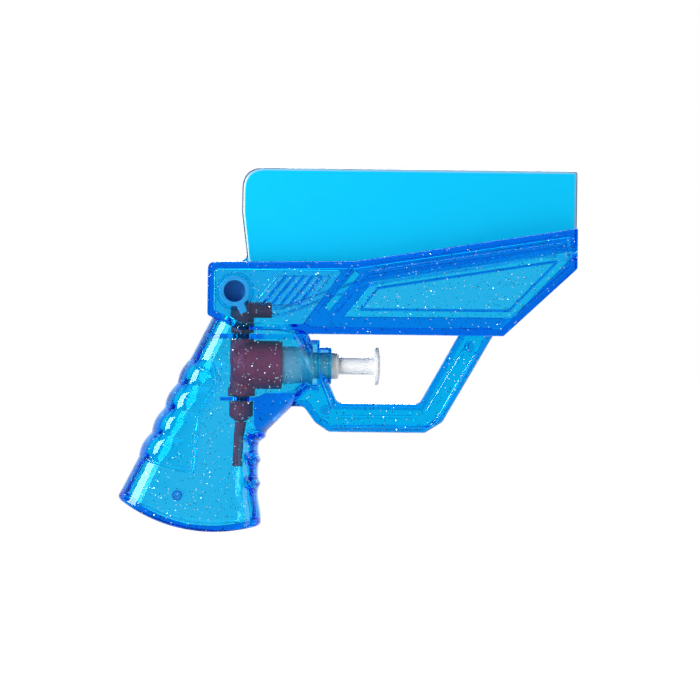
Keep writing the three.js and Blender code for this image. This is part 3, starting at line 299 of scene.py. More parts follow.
def length_mm(name, description, default):
    """A length property, shown in the scene's units and given here in millimetres."""
    return FloatProperty(name=name, description=description, default=default * MM, unit="LENGTH",
                         precision=5)


def amount(name, description, default, unit="NONE"):
    """A number that can't be negative."""
    return FloatProperty(name=name, description=description, default=default, min=0, unit=unit)


def colour(name, description, default):
    """A colour property in linear values."""
    return FloatVectorProperty(name=name, description=description, subtype="COLOR", size=3, min=0, max=1,
                               default=default)


class ShellSettings(bpy.types.PropertyGroup):
    """Sizes of the two see-through body halves."""

    rim_wall: length_mm("Rim wall", "Wall round the outline of the grip", 2.0)
    side_wall: length_mm("Side wall", "Mean wall of the grip's sides", 2.1)
    side_shift: length_mm("Hollow shift", "How much thinner the right side wall is than the mean", 1.5)
    housing_wall: length_mm("Housing wall", "Mean wall of the housing's sides behind the panels", 2.6)
    border: length_mm("Panel border", "How much thicker each housing wall is round the panels", 6.5)
    guard_wall: length_mm("Guard wall", "Wall round the hollow trigger guard", 2.3)
    guard_edge: length_mm("Guard edge", "Rounding of the guard's outer edges", 1.8)
    housing_edge: length_mm("Housing edge", "Rounding of the housing's outer edges", 0.6)
    housing_rim: length_mm("Housing rim", "Wall round the outline of the housing", 2.5)
    seam: length_mm("Seam", "Gap between the two halves", 0.12)
    relief: length_mm("Panel depth", "How far the side panels are sunk", 0.5)
    rail: length_mm("Rail height", "How far the rails stand proud", 0.8)
    lobe: length_mm("Palm lobes", "Height of the lobes at the back of the grip", 1.0)
    pad: length_mm("Palm pad", "How far the palm pad stands proud of the grip's side", 0.3)
    ridge: length_mm("Ridge", "Radius of the beads round the palm pad and on the guard", 0.55)


class GlitterSettings(bpy.types.PropertyGroup):
    """The flakes moulded into the plastic."""

    radius: length_mm("Flake radius", "Half the width of a flake", 0.18)
    thickness: length_mm("Flake thickness", "Thickness of a flake", 0.05)
    shallow: length_mm("Least depth", "Least depth of a flake under the wall's face", 0.12)
    deep: length_mm("Greatest depth", "Greatest depth of a flake under the wall's face", 0.22)
    density: amount("Density", "Flakes per square metre of wall face", 105000)
    seed: IntProperty(name="Seed", description="Another scatter of the same flakes", default=11)


class FinishSettings(bpy.types.PropertyGroup):
    """Colours of the plastics, the label and the metal."""

    tint: colour("Shell tint", "What light takes on at each pass of the skin", (1.0, 0.76, 0.93))
    shell: colour("Shell depth", "What light takes on inside the plastic", (0.0385, 0.9577, 0.9977))
    shell_density: amount("Shell depth density", "How quickly it takes that on, per metre", 1300)
    label: colour("Label", "Printed film on the fin", (0.0, 0.53, 0.9))
    # The film colour is the bare film edge, made paler than the print as a painted edge highlight
    film: colour("Label film", "Bare bevelled edge of the printed film", (0.25, 0.55, 0.82))
    plug: colour("Filler plug", "Soft plug in the filler", (0.006, 0.27, 0.66))
    pump: colour("Pump", "Pump block, valve cap, elbow and dip tube", (0.98, 0.03, 0.1))
    white: colour("White plastic", "Plunger and pump cylinder", (0.87, 0.88, 0.89))
    rubber: colour("Rubber", "Seal and washer", (0.015, 0.016, 0.018))
    steel: colour("Steel", "Springs and valve balls", (0.56, 0.57, 0.6))


class StageSettings(bpy.types.PropertyGroup):
    """Camera, light and floor."""

    distance: amount("Camera distance", "From the body's mid-plane", 1.8, "LENGTH")
    pixel: length_mm("Pixel", "Size of one picture pixel at the body's mid-plane", 0.35)
    roll: FloatProperty(name="Camera roll", description="Turn of the camera about its own axis",
                        default=math.radians(0.7), subtype="ANGLE")
    floor: length_mm("Floor", "Height of the floor", -95)
    fill: amount("Fill", "Light from all around", 0.12)
    top: amount("Top", "Power of the soft lamp overhead", 2.5, "POWER")
    side: amount("Side", "Power of the tall soft lamp", 10.5, "POWER")
    card: amount("Card", "Power of the weak lamp opposite", 1.4, "POWER")
    back: amount("Back", "Power of the lamp for the far side", 9.0, "POWER")


class SquirterSettings(bpy.types.PropertyGroup):
    """All settings of the squirter."""

    shell: PointerProperty(type=ShellSettings)
    glitter: PointerProperty(type=GlitterSettings)
    finish: PointerProperty(type=FinishSettings)
    stage: PointerProperty(type=StageSettings)


# Outlines

def rounded(corners, steps=6):
    """The outline's points, with each corner (x, z, radius) turned into a short curve."""
    points = []
    for i, (x, z, radius) in enumerate(corners):
        corner = Vector((x, z))
        back = Vector(corners[i - 1][:2]) - corner
        ahead = Vector(corners[(i + 1) % len(corners)][:2]) - corner
        trim = min(radius / math.tan(back.angle(ahead) / 2), 0.48 * min(back.length, ahead.length))
        if trim < 1e-4:
            points.append(corner)
            continue
        enter = corner + back.normalized() * trim
        leave = corner + ahead.normalized() * trim
        for k in range(steps + 1):
            t = k / steps
            points.append(enter * (1 - t) ** 2 + corner * 2 * t * (1 - t) + leave * t * t)
    return points


def moved_in(corners, distance):
    """The outline with every side moved inwards by a distance, or outwards if it is negative."""
    out = []
    for i, (x, z, radius) in enumerate(corners):
        here = Vector((x, z))
        enter = (here - Vector(corners[i - 1][:2])).normalized()
        leave = (Vector(corners[(i + 1) % len(corners)][:2]) - here).normalized()
        inward = Vector((-enter.y - leave.y, enter.x + leave.x)) / (1 + enter.dot(leave))
        bend = math.copysign(distance, enter.cross(leave))
        out.append((*(here + inward * distance), max(radius - bend, SMALLEST_RADIUS) if radius else 0))
    return out


def strip(start, end, width):
    """Corners of a straight strip between two points of the side view."""
    start, end = Vector(start), Vector(end)
    run = (end - start).normalized() * (width / 2)
    across = Vector((-run.y, run.x))
    return [(*p, width / 4) for p in (start - across, end - across, end + across, start + across)]


# Closed meshes in millimetres

def closed_mesh(vertices, faces):
    """A mesh with merged doubles and outward faces."""
    work = bmesh.new()
    made = [work.verts.new(v) for v in vertices]
    for face in faces:
        work.faces.new([made[i] for i in dict.fromkeys(face)])
    bmesh.ops.remove_doubles(work, verts=work.verts, dist=1e-5)
    bmesh.ops.dissolve_degenerate(work, edges=work.edges, dist=1e-6)
    bmesh.ops.recalc_face_normals(work, faces=work.faces)
    bmesh.ops.triangulate(work, faces=[f for f in work.faces if len(f.verts) > 4])
    mesh = bpy.data.meshes.new("solid")
    work.to_mesh(mesh)
    work.free()
    return mesh


def skin(rings, looped=False, paired=False):
    """Joins rings of equal size and closes both ends, or joins the last ring to the first.

    Paired ends run straight across from side to side, for rings that are the same on both sides.
    """
    size = len(rings[0])
    faces = []
    for i in range(len(rings) if looped else len(rings) - 1):
        low, high = i * size, (i + 1) % len(rings) * size
        for k in range(size):
            n = (k + 1) % size
            faces.append((low + k, low + n, high + n, high + k))
    for first in () if looped else (0, (len(rings) - 1) * size):
        if paired:
            faces += [(first + k, first + k + 1, first + size - k - 1, first + (size - k) % size)
                      for k in range(size // 2)]
        else:
            faces.append(tuple(range(first, first + size)))
    return closed_mesh([point for ring in rings for point in ring], faces)


def prism(corners, levels, steps=6):
    """A solid with the outline as its side view; levels are (inset, y) pairs."""
    return skin([[(p.x, y, p.y) for p in rounded(moved_in(corners, inset), steps)] for inset, y in levels])


def eased(low, high, edge, steps=3):
    """Levels of a plate between two y values, with both of its rims rounded."""
    near = []
    for k in range(steps + 1):
        turn = k * math.pi / 2 / steps
        near.append((edge * (1 - math.sin(turn)), low + edge * (1 - math.cos(turn))))
    return near + [(inset, low + high - y) for inset, y in reversed(near)]


def turned(profile, axis, place, fillet=0.0, sides=64):
    """A round solid from a closed profile of (radius, distance along the axis) pairs."""
    corners = [(r, a, 0 if r < 1e-6 else fillet) for r, a in profile]
    outline = rounded(corners, 3)
    rings = []
    for point in outline:
        ring = []
        for k in range(sides):
            turn = 2 * math.pi * k / sides
            u, v = point.x * math.cos(turn), point.x * math.sin(turn)
            offset = {"x": (point.y, u, v), "y": (u, point.y, v), "z": (u, v, point.y)}[axis]
            ring.append(Vector(place) + Vector(offset))
        rings.append(ring)
    return skin(rings, looped=True)


def rod(diameter, start, end, axis, place, fillet=0.0):
    """A plain round bar."""
    radius = diameter / 2
    return turned([(0, start), (radius, start), (radius, end), (0, end)], axis, place, fillet)


def block(x0, x1, y0, y1, z0, z1):
    """A plain box."""
    outline = [(x0, z0, 0), (x1, z0, 0), (x1, z1, 0), (x0, z1, 0)]
    return prism(outline, [(0, y0), (0, y1)])


def linked(name, data):
    """A new object in the scene."""
    obj = bpy.data.objects.new(name, data)
    bpy.context.scene.collection.objects.link(obj)
    return obj


def evaluated_mesh(obj):
    """A plain mesh of what the object's modifiers make."""
    return bpy.data.meshes.new_from_object(obj.evaluated_get(bpy.context.evaluated_depsgraph_get()))


def combined(mesh, operation, tools):
    """The mesh joined with, cut by or kept inside the tools, one after another."""
    work = linked("work", mesh)
    helpers = [linked("tool", tool) for tool in tools]
    for helper in helpers:
        modifier = work.modifiers.new("step", "BOOLEAN")
        modifier.operation = operation
        modifier.solver = "MANIFOLD"
        modifier.object = helper
    result = evaluated_mesh(work)
    for used in [work, *helpers]:
        bpy.data.objects.remove(used)
    if not result.polygons:
        raise RuntimeError(f"{operation} left nothing")
    return result


def joined(mesh, *tools):
    """The mesh with the tools added to it."""
    return combined(mesh, "UNION", tools)


def cut(mesh, *tools):
    """The mesh with the tools taken out of it."""
    return combined(mesh, "DIFFERENCE", tools)


def common(mesh, tool):
    """What the mesh and the tool share."""
    return combined(mesh, "INTERSECT", [tool])


# Pieces

def placed(obj, body, slot, *nodes):
    """Settles an object on its body and hides the CAD nodes that it stands for; the finish it is given is not
    used.
    """
    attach(obj, body)
    if nodes:
        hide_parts(*nodes)
    return obj


def piece(name, mesh, material, body, slot, *nodes, sharp=32):
    """Turns a mesh in millimetres into a finished piece that rides on a body and stands for CAD nodes."""
    mesh.transform(Matrix.Scale(MM, 4))
    mesh.materials.clear()
    mesh.materials.append(material)
    mesh.shade_smooth()
    mesh.set_sharp_from_angle(angle=math.radians(sharp))
    obj = linked(name, mesh)
    weighted = obj.modifiers.new("flat_faces_first", "WEIGHTED_NORMAL")
    weighted.keep_sharp = True
    weighted.weight = 80
    return placed(obj, body, slot, *nodes)


# Grip

def smooth(value, low, high):
    """0 below low, 1 above high and a smooth step between."""
    t = min(max((value - low) / (high - low), 0), 1)
    return t * t * (3 - 2 * t)


def signed_power(value, power):
    """A power that keeps the value's sign."""
    return math.copysign(abs(value) ** power, value)


def grip_rear(z):
    """The grip's rear line, a straight rake."""
    x, top = GRIP_REAR
    return x - (top - z) * math.tan(GRIP_RAKE)


def grip_front(z):
    """The grip's front line: upright with a small toe, then slanting up into the neck."""
    upright = GRIP_FRONT_X + max(0.0, z - CROTCH_Z) + TOE * smooth(-z, *TOE_DEPTHS)
    return min(upright, NECK_X + (UNDER_Z - z) * math.tan(NECK_RAKE))


def lobe(z):
    """Height of the palm lobes at a level, from 0 to 1."""
    along = (LOBE_TOP - z) / LOBE_PITCH
    return abs(math.sin(math.pi * along)) if 0 < along < LOBES else 0.0


def finger_bumps(z):
    """Height of the small bumps down the front of the grip, in millimetres."""
    return sum(height * math.exp(-(((z - middle) / BUMP_LENGTH) ** 2)) for middle, height in FINGER_BUMPS)


def inside_pad(x, z):
    """Signed distance into the palm pad, in millimetres."""
    point = Vector((x, z))
    best, inside = 1e9, False
    for i, end in enumerate(PALM_PAD):
        start, end = Vector(PALM_PAD[i - 1]), Vector(end)
        run = end - start
        t = min(max((point - start).dot(run) / run.length_squared, 0), 1)
        best = min(best, (point - start - run * t).length)
        if (start.y > z) != (end.y > z) and x < start.x + (z - start.y) * run.x / run.y:
            inside = not inside
    return best if inside else -best


def grip_ring(t, rim, side, relief, pad, inset, lift, drop, sides):
    """A ring of the grip, t being 0 at the base and 1 at the top, a wall inside the outer surface."""
    rear_z = BASE_REAR_Z + REAR_HEIGHT * t + rim + lift
    front_z = BASE_FRONT_Z + FRONT_HEIGHT * t + rim + lift
    rear = Vector((grip_rear(rear_z), 0, rear_z))
    front = Vector((grip_front(front_z), 0, front_z))
    middle = (rear + front) / 2
    ahead = (front - rear).normalized()
    down = Vector((ahead.z, 0, -ahead.x))
    length = (front - rear).length / 2 - rim / math.cos(GRIP_LEAN) - inset
    half = HOUSING_HALF - GRIP_TAPER * t - side - inset
    bulge = BASE_BULGE * max(0.0, 1 - t / BULGE_SHARE) ** 2
    ring = []
    for k in range(sides):
        turn = 2 * math.pi * k / sides
        along = signed_power(math.cos(turn), RING_POWER)
        across = signed_power(math.sin(turn), RING_POWER)
        out_x, out_y = signed_power(along, 2) / length, signed_power(across, 2) / half
        raised = relief * lobe(rear_z) * smooth(-along, *LOBE_REACH)
        if relief:
            raised += finger_bumps(front_z) * smooth(along, *BUMP_REACH)
        raised /= math.hypot(out_x, out_y)
        point = middle + ahead * (along * length + out_x * raised)
        point += down * (bulge * (1 - along * along) + drop)
        point.y = across * half + out_y * raised
        if pad:
            point.y += pad * smooth(inside_pad(point.x, point.z), -PAD_SLOPE, PAD_SLOPE) * across
        ring.append(point)
    return ring


def grip(rim, side, relief, pad, base_round, stations, sides):
    """The grip's closed body, with a rounded rim round its base."""
    rings = []
    for k in range(BASE_STEPS + 1):
        turn = k * math.pi / 2 / BASE_STEPS
        inset, drop = base_round * (1 - math.sin(turn)), base_round * math.cos(turn)
        rings.append(grip_ring(0, rim, side, 0, 0, inset, base_round, drop, sides))
    start = base_round / GRIP_HEIGHT
    for k in range(1, stations + 1):
        t = start + (1 - start) * k / stations
        rings.append(grip_ring(t, rim, side, relief, pad, 0, 0, 0, sides))
    return skin(rings, paired=True)


# Materials

def add(tree, kind, inputs=None, **settings):
    """A new node in a tree, with its settings and the values of its inputs."""
    node = tree.nodes.new(kind)
    for name, value in settings.items():
        setattr(node, name, value)
    set_inputs(node, inputs or {})
    return node


def set_inputs(node, values):
    """Sets a node's inputs by their names or places."""
    for name, value in values.items():
        node.inputs[name].default_value = value


def shader(name):
    """A fresh material with its node tree, Principled shader and output."""
    material = bpy.data.materials.new(name)
    material.use_nodes = True
    tree = material.node_tree
    return material, tree, tree.nodes["Principled BSDF"], tree.nodes["Material Output"]


def moulding_group():
    """Node group: uneven gloss and faint ripples of moulded plastic, from Object coordinates."""
    name = "Moulded surface"
    if name in bpy.data.node_groups:
        return bpy.data.node_groups[name]
    group = bpy.data.node_groups.new(name, "ShaderNodeTree")
    for label, default in (("Scale", 60.0), ("Low gloss", 0.1), ("High gloss", 0.2)):
        socket = group.interface.new_socket(label, in_out="INPUT", socket_type="NodeSocketFloat")
        socket.default_value = default
    for label in ("Roughness", "Height"):
        group.interface.new_socket(label, in_out="OUTPUT", socket_type="NodeSocketFloat")
    link = group.links.new
    given, result = add(group, "NodeGroupInput"), add(group, "NodeGroupOutput")
    place = add(group, "ShaderNodeTexCoord")
    ripple = add(group, "ShaderNodeTexNoise", {"Detail": 3.0})
    spread = add(group, "ShaderNodeMapRange", {"From Min": 0.3, "From Max": 0.7})
    link(place.outputs["Object"], ripple.inputs["Vector"])
    link(given.outputs["Scale"], ripple.inputs["Scale"])
    link(ripple.outputs["Fac"], spread.inputs["Value"])
    link(given.outputs["Low gloss"], spread.inputs["To Min"])
    link(given.outputs["High gloss"], spread.inputs["To Max"])
    link(spread.outputs["Result"], result.inputs["Roughness"])
    link(ripple.outputs["Fac"], result.inputs["Height"])
    return group


def moulded(tree, principled, scale, low, high, strength, distance):
    """Places the moulded surface on a material, for its roughness and its bump."""
    surface = add(tree, "ShaderNodeGroup", node_tree=moulding_group())
    set_inputs(surface, {"Scale": scale, "Low gloss": low, "High gloss": high})
    bump = add(tree, "ShaderNodeBump", {"Strength": strength, "Distance": distance})
    tree.links.new(surface.outputs["Roughness"], principled.inputs["Roughness"])
    tree.links.new(surface.outputs["Height"], bump.inputs["Height"])
    tree.links.new(bump.outputs["Normal"], principled.inputs["Normal"])


def toned(tree, principled, base, share, scale):
    """Gives the base colour a slight drift in brightness over the piece."""
    place = add(tree, "ShaderNodeTexCoord")
    drift = add(tree, "ShaderNodeTexNoise", {"Scale": scale})
    mix = add(tree, "ShaderNodeMix", data_type="RGBA")
    set_inputs(mix, {COLOUR_A: (*[c * (1 - share) for c in base], 1),
                     COLOUR_B: (*[min(c * (1 + share), 1) for c in base], 1)})
    tree.links.new(place.outputs["Object"], drift.inputs["Vector"])
    tree.links.new(drift.outputs["Fac"], mix.inputs["Factor"])
    tree.links.new(mix.outputs[COLOUR_RESULT], principled.inputs["Base Color"])


def see_through(name, tint, depth, density):
    """Clear plastic that colours light by how far it travels inside."""
    material, tree, principled, output = shader(name)
    set_inputs(principled, {"Base Color": (*tint, 1), "Transmission Weight": 1.0, "IOR": 1.59,
                            "Specular Tint": (0.6, 0.9, 1.0, 1)})
    moulded(tree, principled, scale=90.0, low=0.0, high=0.02, strength=0.08, distance=0.0004)
    inside = add(tree, "ShaderNodeVolumeAbsorption", {"Color": (*depth, 1), "Density": density})
    tree.links.new(inside.outputs["Volume"], output.inputs["Volume"])
    return material


def solid_plastic(name, base, low=0.25, high=0.4, coat=0.2):
    """Opaque moulded plastic, made once for each name."""
    found = bpy.data.materials.get(name)
    if found:
        return found
    material, tree, principled, _ = shader(name)
    toned(tree, principled, base, share=0.06, scale=60.0)
    moulded(tree, principled, scale=120.0, low=low, high=high, strength=0.08, distance=0.0002)
    principled.inputs["Coat Weight"].default_value = coat
    return material


def red_plastic(finish):
    """The pump's satin plastic."""
    return solid_plastic("pump_plastic", finish.pump, low=0.4, high=0.55, coat=0.0)


def white_plastic(finish):
    """The plunger's and the cylinder's plastic."""
    return solid_plastic("white_plastic", finish.white, low=0.3, high=0.42)


def seal_rubber(finish):
    """Dull black rubber."""
    return solid_plastic("seal_rubber", finish.rubber, low=0.6, high=0.75, coat=0.0)


def metal(name, base):
    """Bright drawn steel."""
    material, tree, principled, _ = shader(name)
    toned(tree, principled, base, share=0.08, scale=400.0)
    moulded(tree, principled, scale=900.0, low=0.15, high=0.3, strength=0.1, distance=0.0001)
    principled.inputs["Metallic"].default_value = 1.0
    return material


def label_print(base):
    """Matt print with hardly any sheen."""
    material, tree, principled, _ = shader("label_print")
    toned(tree, principled, base, share=0.015, scale=25.0)
    moulded(tree, principled, scale=700.0, low=0.5, high=0.6, strength=0.05, distance=0.0001)
    principled.inputs["Specular IOR Level"].default_value = 0.1
    return material


def flake_material():
    """Glitter: dark, silver and gold flakes, told apart by each flake's own tone."""
    material, tree, principled, _ = shader("glitter_flakes")
    tone = add(tree, "ShaderNodeAttribute", attribute_name="tone")
    ramp = add(tree, "ShaderNodeValToRGB")
    ramp.color_ramp.interpolation = "CONSTANT"
    stops = ((0.0, (0.01, 0.015, 0.03, 1)), (0.3, (1.0, 1.0, 1.0, 1)), (0.8, (1.0, 0.9, 0.75, 1)))
    ramp.color_ramp.elements[1].position = stops[1][0]
    ramp.color_ramp.elements.new(stops[2][0])
    for element, (position, value) in zip(ramp.color_ramp.elements, stops):
        element.position = position
        element.color = value
    tree.links.new(tone.outputs["Fac"], ramp.inputs["Fac"])
    tree.links.new(ramp.outputs["Color"], principled.inputs["Base Color"])
    set_inputs(principled, {"Metallic": 1.0, "Roughness": 0.3})
    return material


# Geometry Nodes

def node_tree(name, numbers, counts):
    """An empty Geometry Nodes tree with a geometry input and output and the named number inputs."""
    tree = bpy.data.node_groups.new(name, "GeometryNodeTree")
    for side in ("INPUT", "OUTPUT"):
        tree.interface.new_socket("Geometry", in_out=side, socket_type="NodeSocketGeometry")
    for labels, kind in ((numbers, "NodeSocketFloat"), (counts, "NodeSocketInt")):
        for label in labels:
            tree.interface.new_socket(label, in_out="INPUT", socket_type=kind)
    return tree, add(tree, "NodeGroupInput"), add(tree, "NodeGroupOutput")


def grown(name, start_mesh, tree, values):
    """Runs a tree on a mesh and returns the plain mesh that comes out."""
    host = linked(name, start_mesh)
    modifier = host.modifiers.new("grow", "NODES")
    modifier.node_group = tree
    for item in tree.interface.items_tree:
        if item.in_out == "INPUT" and item.name in values:
            modifier[item.identifier] = values[item.name]
    mesh = evaluated_mesh(host)
    bpy.data.objects.remove(host)
    if not mesh.polygons:
        raise RuntimeError(f"{name} came out empty")
    mesh.name = name
    return mesh


def painted(tree, geometry, result, material):
    """Ends a tree: real faces with their material."""
    realize = add(tree, "GeometryNodeRealizeInstances")
    paint = add(tree, "GeometryNodeSetMaterial", {"Material": material})
    tree.links.new(geometry, realize.inputs["Geometry"])
    tree.links.new(realize.outputs["Geometry"], paint.inputs["Geometry"])
    tree.links.new(paint.outputs["Geometry"], result.inputs["Geometry"])


def glitter_tree(material):
    """Scatters thin six-sided flakes just under the faces of a wall, each turned at random."""
    numbers = ("Density", "Radius", "Thickness", "Shallow", "Deep")
    tree, given, result = node_tree("Glitter", numbers, ("Seed",))
    link = tree.links.new
    scatter = add(tree, "GeometryNodeDistributePointsOnFaces")
    sink = add(tree, "GeometryNodeSetPosition")
    depth = add(tree, "FunctionNodeRandomValue")
    inward = add(tree, "ShaderNodeVectorMath", operation="SCALE")
    reverse = add(tree, "ShaderNodeMath", {1: -1}, operation="MULTIPLY")
    least, most = (-FLAKE_TILT, -FLAKE_TILT, 0), (FLAKE_TILT, FLAKE_TILT, 2 * math.pi)
    spin = add(tree, "FunctionNodeRandomValue", {VECTOR_MIN: least, VECTOR_MAX: most},
               data_type="FLOAT_VECTOR")
    lean = add(tree, "FunctionNodeRotateRotation", rotation_space="LOCAL")
    flake = add(tree, "GeometryNodeMeshCylinder", {"Vertices": FLAKE_SIDES})
    put = add(tree, "GeometryNodeInstanceOnPoints")
    tone = add(tree, "FunctionNodeRandomValue")
    mark = add(tree, "GeometryNodeStoreNamedAttribute", {"Name": "tone"}, domain="INSTANCE")
    link(given.outputs["Geometry"], scatter.inputs["Mesh"])
    link(given.outputs["Density"], scatter.inputs["Density"])
    link(given.outputs["Seed"], scatter.inputs["Seed"])
    link(scatter.outputs["Points"], sink.inputs["Geometry"])
    link(given.outputs["Shallow"], depth.inputs[NUMBER_MIN])
    link(given.outputs["Deep"], depth.inputs[NUMBER_MAX])
    link(depth.outputs[NUMBER_VALUE], reverse.inputs[0])
    link(scatter.outputs["Normal"], inward.inputs["Vector"])
    link(reverse.outputs["Value"], inward.inputs["Scale"])
    link(inward.outputs["Vector"], sink.inputs["Offset"])
    link(given.outputs["Radius"], flake.inputs["Radius"])
    link(given.outputs["Thickness"], flake.inputs["Depth"])
    link(sink.outputs["Geometry"], put.inputs["Points"])
    link(flake.outputs["Mesh"], put.inputs["Instance"])
    link(scatter.outputs["Rotation"], lean.inputs["Rotation"])
    link(spin.outputs[VECTOR_VALUE], lean.inputs["Rotate By"])
    link(lean.outputs["Rotation"], put.inputs["Rotation"])
    link(put.outputs["Instances"], mark.inputs["Geometry"])
    link(tone.outputs[NUMBER_VALUE], mark.inputs["Value"])
    painted(tree, mark.outputs["Geometry"], result, material)
    return tree


def spring_tree(material):
    """Winds a round wire into a spring along +Z."""
    tree, given, result = node_tree("Spring", ("Turns", "Radius", "Height", "Wire"), ("Points",))
    link = tree.links.new
    coil = add(tree, "GeometryNodeCurveSpiral")
    section = add(tree, "GeometryNodeCurvePrimitiveCircle", {"Resolution": 12})
    wound = add(tree, "GeometryNodeCurveToMesh", {"Fill Caps": True})
    link(given.outputs["Turns"], coil.inputs["Rotations"])
    link(given.outputs["Points"], coil.inputs["Resolution"])
    link(given.outputs["Radius"], coil.inputs["Start Radius"])
    link(given.outputs["Radius"], coil.inputs["End Radius"])
    link(given.outputs["Height"], coil.inputs["Height"])
    link(given.outputs["Wire"], section.inputs["Radius"])
    link(coil.outputs["Curve"], wound.inputs["Curve"])
    link(section.outputs["Curve"], wound.inputs["Profile Curve"])
    painted(tree, wound.outputs["Mesh"], result, material)
    return tree


# Lines laid along a path

def through(knots, steps):
    """Points on a smooth curve through the knots."""
    path = []
    for i in range(len(knots) - 1):
        before, start = knots[max(i - 1, 0)], knots[i]
        end, after = knots[i + 1], knots[min(i + 2, len(knots) - 1)]
        for k in range(steps):
            t = k / steps
            path.append(0.5 * (2 * start + (end - before) * t
                               + (2 * before - 5 * start + 4 * end - after) * t ** 2
                               + (3 * start - before - 3 * end + after) * t ** 3))
    return path + [knots[-1]]


def swept(path, radius, outward, sides):
    """Rings of a round section along a path, the first point of each on the outward side."""
    rings = []
    for i, point in enumerate(path):
        ahead = (path[min(i + 1, len(path) - 1)] - path[max(i - 1, 0)]).normalized()
        across = ahead.cross(outward).normalized()
        up = across.cross(ahead)
        turns = [2 * math.pi * k / sides for k in range(sides)]
        rings.append([point + (up * math.cos(a) + across * math.sin(a)) * radius for a in turns])
    return rings


def bead(surface, line, towards, radius):
    """A round bead along a side-view line, laid on one side of a surface."""
    outward = Vector((0, towards, 0))
    path = []
    for point in through([Vector((x, 0, z)) for x, z in line], 10):
        hit = surface.ray_cast(point + outward * 60, -outward)[0]
        if hit is None:
            raise RuntimeError("the bead's line leaves the surface")
        path.append(hit)
    return skin(swept(path, radius, outward, 16))


def tube_along(route, outer, inner):
    """A hollow tube along a smooth curve through side-view points."""
    path = through([Vector((x, 0, z)) for x, z in route], 12)
    sideways = Vector((0, 1, 0))
    return skin(swept(path, outer, sideways, 24) + swept(path, inner, sideways, 24)[::-1], looped=True)


# The body's forms

def flute_lines(width):
    """Outlines of the slanted flutes, evenly spaced over their field behind the filler."""
    (rear, foot, _), (front, _, _), _, (slanted, head, _) = FLUTED_FIELD
    starts = [rear + (front - rear) * k / (FLUTES + 1) for k in range(1, FLUTES + 1)]
    return [strip((x, foot), (x + slanted - rear, head), width) for x in starts]


def decorated(housing, relief, rail):
    """The housing with its side panels sunk and its rails raised, the same on both sides."""
    sunk = [(LONG_PANEL, relief, 0.0), (LONG_PANEL, STEP_DEPTH, -PANEL_MARGIN),
            (FLUTED_FIELD, STEP_DEPTH, 0.0), (WEDGE, WEDGE_DEPTH, 0.0)]
    cutters = []
    for outline, depth, inset in sunk:
        floor = HOUSING_HALF - depth
        levels = [(inset - PANEL_DRAFT, -HOUSING_HALF - PAST), (inset + PANEL_DRAFT * depth, -floor)]
        cutters.append(prism(outline, levels))
        cutters.append(prism(outline, [(d, -y) for d, y in levels]))
    raised = [(strip(*ends, RAIL_WIDTH), rail, RAIL_EDGE) for ends in [RAIL, *REAR_BARS]]
    raised += [(strip(*ends, NOSE_BEAD_WIDTH), NOSE_BEAD_HEIGHT, NOSE_BEAD_EDGE) for ends in NOSE_BEADS]
    raised += [(line, 0.0, FLUTE_EDGE) for line in flute_lines(FLUTE_WIDTH)]
    ribs = []
    for outline, height, edge in raised:
        proud = HOUSING_HALF + height
        ribs.append(prism(outline, eased(-proud, proud, edge)))
    return joined(cut(housing, *cutters), *ribs)


def trigger_guard(edge):
    """The trigger guard, rounded round its outline and its opening."""
    flare = eased(-GUARD_HALF, GUARD_HALF, edge)
    flared = [(-inset, y) for inset, y in flare]
    opening = [(-edge, -GUARD_HALF - PAST), *flared, (-edge, GUARD_HALF + PAST)]
    return cut(prism(GUARD, flare), prism(GUARD_HOLE, opening))


def housing_hollow(sizes):
    """The housing's hollow: a flat core with deep pockets behind the panels, crossed by their ribs."""
    inner = HOUSING_HALF - sizes.housing_wall / MM
    core = inner - sizes.border / MM
    deep = eased(-inner, inner, POCKET_EDGE)
    rear = eased(-inner - REAR_DEEPER, inner - REAR_SHALLOWER, POCKET_EDGE)
    panel_rib = cut(prism(LONG_PANEL, RIGHT_THROUGH), prism(moved_in(LONG_PANEL, PANEL_RIB), RIGHT_THROUGH))
    flute_ribs = [prism(line, RIGHT_THROUGH) for line in flute_lines(FLUTE_RIB)]
    return joined(
        prism(moved_in(HOUSING, sizes.housing_rim / MM), eased(-core, core, POCKET_EDGE)),
        cut(prism(REAR_POCKET, rear), *flute_ribs),
        cut(prism(moved_in(LONG_PANEL, -PANEL_MARGIN), deep), panel_rib),
        prism(strip(*BAR_GAP, BAR_GAP_WIDTH), deep),
    )


def guard_hollow(wall, *neighbours):
    """The trigger guard's hollow, kept out of the forms that it runs into."""
    inner = GUARD_HALF - GUARD_SIDE
    return cut(
        prism(moved_in(GUARD, wall), eased(-inner, inner, GUARD_HOLLOW_EDGE)),
        prism(moved_in(GUARD_HOLE, -wall), [(0, -GUARD_HALF), (0, GUARD_HALF)]),
        *neighbours,
    )


def inner_parts(grip_form):
    """What stands inside the body: boss, shelf and foot plate for the pump, housing floor and peg bars."""
    boss = turned(BOSS, "x", PUMP_AXIS, fillet=0.4)
    shelf = cut(common(block(*SHELF), grip_form), block(*SHELF_DRAIN))
    foot = common(block(*FOOT), grip_form)
    floor = cut(prism(HOUSING, RIGHT_THROUGH), prism(moved_in(HOUSING, SOLE), RIGHT_THROUGH))
    sole = cut(common(floor, block(*SOLE_FIELD)), block(*SOLE_DRAIN))
    bars = []
    for x, z, half, wall in PEGS:
        reach = half - wall + PEG_BAR_SINK
        bars.append(rod(PEG_BAR_DIAMETER, -reach, reach, "y", (x, 0, z)))
    return [boss, shelf, foot, sole, *bars]


def side_box(low, high):
    """A box round the whole toy between two y values."""
    return block(-80, 200, low, high, -80, 150)


